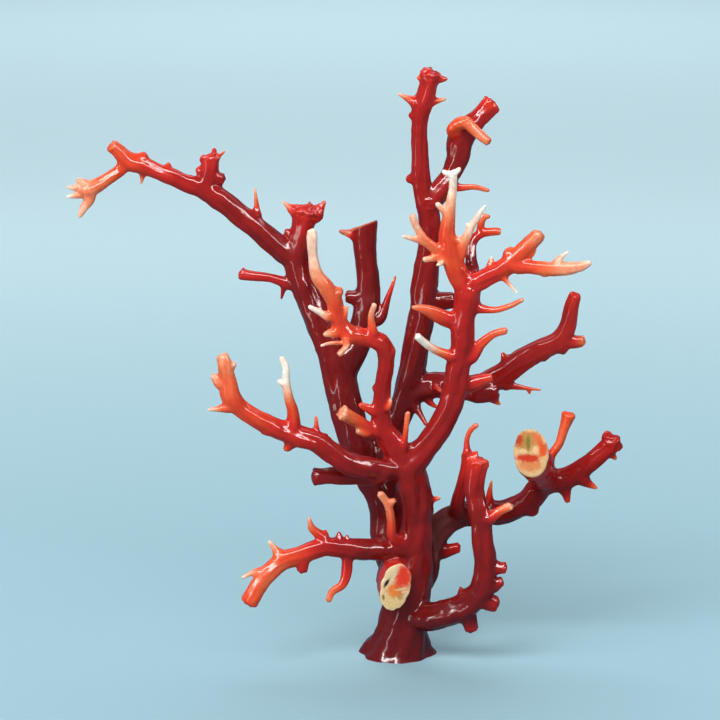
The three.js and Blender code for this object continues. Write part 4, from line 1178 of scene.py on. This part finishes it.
def coral_colour_group():
    """Colour, roughness and fine relief of polished coral from its tone and grain."""
    tree, start, end = new_group(
        "coral colour",
        (("Tone", "NodeSocketFloat"), ("Grain", "NodeSocketVector"),
         ("Fade", "NodeSocketFloat"), ("Place", "NodeSocketVector")),
        (("Color", "NodeSocketColor"), ("Roughness", "NodeSocketFloat"), ("Height", "NodeSocketFloat")),
    )
    place = in_millimetres(tree, start.outputs["Place"])
    plain_tone = start.outputs["Tone"]
    clouds = around_nought(tree, noise(tree, place, *CLOUDS))
    streaks = around_nought(tree, noise(tree, start.outputs["Grain"], *STREAKS))
    streaks = sums(tree, "MULTIPLY", streaks, start.outputs["Fade"])
    chalk = around_nought(tree, noise(tree, place, *CHALK))
    chalk = sums(tree, "MULTIPLY", chalk, spread(tree, plain_tone, CHALK_FROM, CHALK_TO, 0, CHALK_TONE))
    tone = sums(tree, "ADD", plain_tone, sums(tree, "MULTIPLY", clouds, CLOUD_TONE))
    tone = sums(tree, "ADD", tone, sums(tree, "MULTIPLY", streaks, STREAK_TONE))
    tone = sums(tree, "ADD", tone, chalk)
    ramp = add(tree, "ShaderNodeValToRGB")
    steps = ramp.color_ramp.elements
    while len(steps) < len(TONE_STEPS):
        steps.new(1)
    for step, (position, colour) in zip(steps, TONE_STEPS):
        step.position = position
        step.color = linear(*colour)
    tree.links.new(tone, ramp.inputs["Fac"])
    pits = spread(tree, noise(tree, place, *PITS), PIT_FROM, PIT_TO)
    share = sums(tree, "MULTIPLY", pits, PIT_SHARE)
    colour = blend(tree, share, ramp.outputs["Color"], linear(*PIT_COLOUR))
    tree.links.new(colour, end.inputs["Color"])
    dull = spread(tree, tone, DULL_FROM, DULL_TO, POLISHED, DULL)
    dull = sums(tree, "ADD", dull, spread(tree, plain_tone, DARK_TONE, RED_TONE, DARK_DULL, 0))
    smudges = noise(tree, place, *SMUDGES)
    dull = sums(tree, "ADD", dull, sums(tree, "MULTIPLY", smudges, SMUDGE_DULLNESS))
    tree.links.new(dull, end.inputs["Roughness"])
    height = sums(tree, "MULTIPLY", streaks, STREAK_HEIGHT)
    height = sums(tree, "ADD", height, sums(tree, "MULTIPLY", noise(tree, place, *GRIT), GRIT_HEIGHT))
    height = sums(tree, "SUBTRACT", height, sums(tree, "MULTIPLY", pits, PIT_DEPTH))
    raised = spread(tree, tone, RELIEF_FROM, RELIEF_TO, POLISHED_RELIEF, 1)
    height = sums(tree, "MULTIPLY", height, raised)
    tree.links.new(height, end.inputs["Height"])
    return tree


# Sawn faces: how uneven, speckled and dull they are, and how soft the edges of their patches.
WOBBLE = (1.2, 3, 0.6)
SPECKLES = (2.4, 4, 0.7)
SPECKLE_FROM = 0.3
SPECKLE_TO = 0.7
SPECKLE_DARK = 0.86
SPECKLE_LIGHT = 1.05
FACE_FROM = 0.3
FACE_TO = 0.7
FACE_DULLNESS = 0.18
PATCH_INNER = 0.5
PATCH_OUTER = 1.35
ANY_DEPTH = 1e3


def patch(tree, face, wobble, under, middle, half, colour, turn):
    """An uneven oval patch of colour on a sawn face, in millimetres from its middle."""
    move = add(tree, "ShaderNodeMapping", {"vector_type": "TEXTURE"})
    move.inputs["Location"].default_value = (0, middle[0], middle[1])
    move.inputs["Rotation"].default_value = (math.radians(turn), 0, 0)
    move.inputs["Scale"].default_value = (ANY_DEPTH, half[0], half[1])
    tree.links.new(face, move.inputs["Vector"])
    far = add(tree, "ShaderNodeVectorMath", {"operation": "LENGTH"})
    tree.links.new(move.outputs[0], far.inputs[0])
    ragged = sums(tree, "ADD", far.outputs["Value"], wobble)
    return blend(tree, spread(tree, ragged, PATCH_INNER, PATCH_OUTER, 1, 0), under, linear(*colour))


# Each sawn face: its ground colour, then patches by middle, half size, colour and turn.
KNOB_PATCHES = {
    "trunk": (
        (222, 190, 146),
        ((-0.5, -2.6), (2.4, 2.0), (218, 182, 124), 0),
        ((0.9, -1.6), (0.7, 1.1), (176, 136, 78), 10),
        ((-2.3, -2.0), (0.3, 0.7), (150, 112, 62), 0),
        ((-0.2, -0.6), (1.5, 1.5), (226, 122, 46), 0),
        ((1.7, 2.0), (1.8, 3.0), (218, 50, 20), -12),
        ((1.2, -0.5), (1.3, 0.25), (214, 178, 128), 8),
        ((-0.7, 1.9), (0.6, 2.6), (218, 190, 146), -33),
        ((-1.6, 0.9), (0.34, 1.2), (40, 22, 16), -34),
    ),
    "low_right_arm": (
        (214, 172, 122),
        ((0.1, -2.6), (2.5, 1.3), (210, 126, 74), 0),
        ((-0.5, 3.2), (2.3, 0.7), (208, 118, 62), 0),
        ((-0.6, 1.9), (2.1, 2.0), (182, 130, 68), 0),
        ((-2.5, 2.2), (1.0, 1.4), (182, 62, 28), 15),
        ((1.5, 2.5), (1.0, 1.3), (216, 106, 60), 20),
        ((2.4, 0.5), (1.0, 1.7), (216, 84, 38), 0),
        ((-0.4, 1.7), (0.4, 1.4), (126, 108, 44), 0),
        ((-1.4, 0.1), (0.8, 0.5), (222, 180, 128), 0),
        ((1.1, 0.5), (0.7, 0.8), (226, 178, 130), 0),
        ((-0.4, -1.2), (2.4, 0.85), (198, 52, 26), 0),
    ),
    "end": (
        (184, 88, 60),
        ((0, 0), (1.6, 1.4), (140, 44, 34), 0),
    ),
}


def sawn_group(name, patches):
    """The bare inside of the coral where it was sawn, laid over its polished colour."""
    tree, start, end = new_group(
        "sawn " + name,
        (("Color", "NodeSocketColor"), ("Roughness", "NodeSocketFloat"),
         ("Face", "NodeSocketVector"), ("Place", "NodeSocketVector")),
        (("Color", "NodeSocketColor"), ("Roughness", "NodeSocketFloat")),
    )
    face = start.outputs["Face"]
    apart = add(tree, "ShaderNodeSeparateXYZ")
    tree.links.new(face, apart.inputs[0])
    place = in_millimetres(tree, start.outputs["Place"])
    wobble = around_nought(tree, noise(tree, place, *WOBBLE))
    speckle = noise(tree, place, *SPECKLES)
    colour = linear(*patches[0])
    for middle, half, tint, turn in patches[1:]:
        colour = patch(tree, face, wobble, colour, middle, half, tint, turn)
    shade = spread(tree, speckle, SPECKLE_FROM, SPECKLE_TO, SPECKLE_DARK, SPECKLE_LIGHT)
    grey = add(tree, "ShaderNodeCombineColor")
    for channel in grey.inputs[:3]:
        tree.links.new(shade, channel)
    colour = blend(tree, 1.0, colour, grey.outputs[0], "MULTIPLY")
    share = spread(tree, apart.outputs["X"], FACE_FROM, FACE_TO)
    colour = blend(tree, share, start.outputs["Color"], colour)
    tree.links.new(colour, end.inputs["Color"])
    dull = sums(tree, "ADD", start.outputs["Roughness"], sums(tree, "MULTIPLY", share, FACE_DULLNESS))
    tree.links.new(dull, end.inputs["Roughness"])
    return tree


def coral_finish(name, colour_group, saw_group=None, shine=SHINE):
    """Polished coral that reads the tone, grain and saw marks stored on its piece."""
    finish = bpy.data.materials.new(name)
    finish.use_nodes = True
    tree = finish.node_tree
    shader = tree.nodes["Principled BSDF"]
    shader.inputs["IOR"].default_value = CORAL_IOR
    shader.inputs["Specular IOR Level"].default_value = shine
    read = {}
    for label, part in (("tone", "Fac"), ("grain", "Vector"), ("fade", "Fac"), ("sawn", "Vector")):
        read[label] = add(tree, "ShaderNodeAttribute", {"attribute_name": label}).outputs[part]
    place = add(tree, "ShaderNodeTexCoord").outputs["Object"]
    coral = add(tree, "ShaderNodeGroup", {"node_tree": colour_group})
    for label, source in (("Tone", "tone"), ("Grain", "grain"), ("Fade", "fade")):
        tree.links.new(read[source], coral.inputs[label])
    tree.links.new(place, coral.inputs["Place"])
    colour, dull = coral.outputs["Color"], coral.outputs["Roughness"]
    if saw_group:
        saw = add(tree, "ShaderNodeGroup", {"node_tree": saw_group})
        tree.links.new(colour, saw.inputs["Color"])
        tree.links.new(dull, saw.inputs["Roughness"])
        tree.links.new(read["sawn"], saw.inputs["Face"])
        tree.links.new(place, saw.inputs["Place"])
        colour, dull = saw.outputs["Color"], saw.outputs["Roughness"]
    settings = {"Strength": RELIEF_STRENGTH, "Distance": RELIEF_DEPTH * MM}
    relief = add(tree, "ShaderNodeBump", None, settings)
    tree.links.new(coral.outputs["Height"], relief.inputs["Height"])
    tree.links.new(colour, shader.inputs["Base Color"])
    tree.links.new(dull, shader.inputs["Roughness"])
    tree.links.new(relief.outputs["Normal"], shader.inputs["Normal"])
    return finish


# Stage

def pale_paper():
    """Paper for the floor with painted light: paler further away, where the lamps light it less, and a
    painted glow where the far lamp doesn't reach.
    """
    paper = bpy.data.materials.new("pale paper")
    paper.use_nodes = True
    tree = paper.node_tree
    shader = tree.nodes["Principled BSDF"]
    shader.inputs["Roughness"].default_value = PAPER_ROUGHNESS
    shader.inputs["Specular IOR Level"].default_value = PAPER_SHINE
    shader.inputs["Emission Strength"].default_value = 1.0
    place = add(tree, "ShaderNodeTexCoord").outputs["Object"]
    length = add(tree, "ShaderNodeVectorMath", {"operation": "LENGTH"})
    tree.links.new(place, length.inputs[0])
    far = length.outputs["Value"]
    # Painted light: the paper is paler further away, where the lamps light it less.
    share = spread(tree, far, PAPER_FROM, PAPER_TO)
    colour = blend(tree, share, linear(*NEAR_PAPER), linear(*FAR_PAPER))
    tree.links.new(colour, shader.inputs["Base Color"])
    # A painted glow on the paper, to the sides and far off, where the far lamp doesn't reach.
    apart = add(tree, "ShaderNodeSeparateXYZ")
    tree.links.new(place, apart.inputs[0])
    ahead = sums(tree, "DIVIDE", apart.outputs["Y"], far)
    unlit = spread(tree, ahead, GLOW_SIDE, GLOW_AHEAD, 1, 0)
    glow = sums(tree, "MULTIPLY", unlit, spread(tree, far, GLOW_FROM, GLOW_TO))
    light = blend(tree, glow, linear(0, 0, 0), linear(*PAPER_GLOW))
    tree.links.new(light, shader.inputs["Emission Color"])
    return paper


def lamp(place, target, size, power):
    """A flat lamp that faces its target, with its first side level."""
    bpy.ops.object.light_add(type="AREA", location=place)
    light = bpy.context.object
    aim = np.array(target) - np.array(place)
    light.rotation_euler = (
        math.atan2(math.hypot(aim[0], aim[1]), -aim[2]), 0, math.atan2(aim[1], aim[0]) - math.pi / 2)
    light.data.shape = "RECTANGLE"
    light.data.size, light.data.size_y = size
    light.data.energy = power
    return light


def room_light():
    """Even light from all round, dimmer and bluer where the polish mirrors it."""
    world = bpy.data.worlds.new("room")
    world.use_nodes = True
    tree = world.node_tree
    sky = tree.nodes["Background"]
    mirrored = add(tree, "ShaderNodeLightPath").outputs["Is Glossy Ray"]
    tint = blend(tree, mirrored, linear(*ROOM_COLOUR), linear(*GLEAM_COLOUR))
    tree.links.new(tint, sky.inputs["Color"])
    tree.links.new(spread(tree, mirrored, 0, 1, ROOM_LIGHT, ROOM_GLEAM), sky.inputs["Strength"])
    bpy.context.scene.world = world


def set_stage():
    """A wide pale floor, soft light from above and a camera where the viewer stands."""
    bpy.ops.object.select_all(action="DESELECT")
    bpy.ops.mesh.primitive_plane_add(size=FLOOR_SIZE)
    floor = bpy.context.object
    floor.name = "floor"
    floor.data.materials.append(pale_paper())
    floor.visible_glossy = False
    room_light()
    bpy.ops.object.light_add(type="SUN", rotation=SUN_TURN)
    sun = bpy.context.object
    sun.data.energy = SUN_LIGHT
    sun.data.angle = SUN_WIDTH
    sun.visible_glossy = False
    for place, target, size, power in SOFT_LAMPS:
        lamp(place, target, size, power).visible_glossy = False
    for place, target, size, power in STRIPS:
        lamp(place, target, size, power).visible_diffuse = False
    bpy.ops.object.camera_add(location=EYE * MM, rotation=(math.pi / 2 - VIEW_PITCH, 0, 0))
    camera = bpy.context.object
    camera.data.lens = LENS
    camera.data.sensor_width = FILM
    camera.data.clip_start = NEAREST_SEEN
    bpy.context.scene.camera = camera
    bpy.context.scene.view_settings.view_transform = "Standard"


pieces = shape_branch()
shared_colour = coral_colour_group()
plain_coral = coral_finish("polished coral", shared_colour)
end_saw = sawn_group("end", KNOB_PATCHES["end"])
end_coral = coral_finish("polished coral with sawn end", shared_colour, end_saw)
for name, piece in pieces.items():
    piece.name = name + "_skin"
    finish = plain_coral
    if name in KNOB_PATCHES:
        saw = sawn_group(name, KNOB_PATCHES[name])
        shine = BOUGHS[name].get("shine", SHINE)
        finish = coral_finish("polished coral with knob of " + name, shared_colour, saw, shine)
    elif "cut" in BOUGHS[name]:
        finish = end_coral
    piece.data.materials.clear()
    piece.data.materials.append(finish)
    one_finish = np.zeros(len(piece.data.polygons), dtype=np.int32)
    piece.data.polygons.foreach_set("material_index", one_finish)
    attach(piece, "root")
    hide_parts(name)
set_stage()
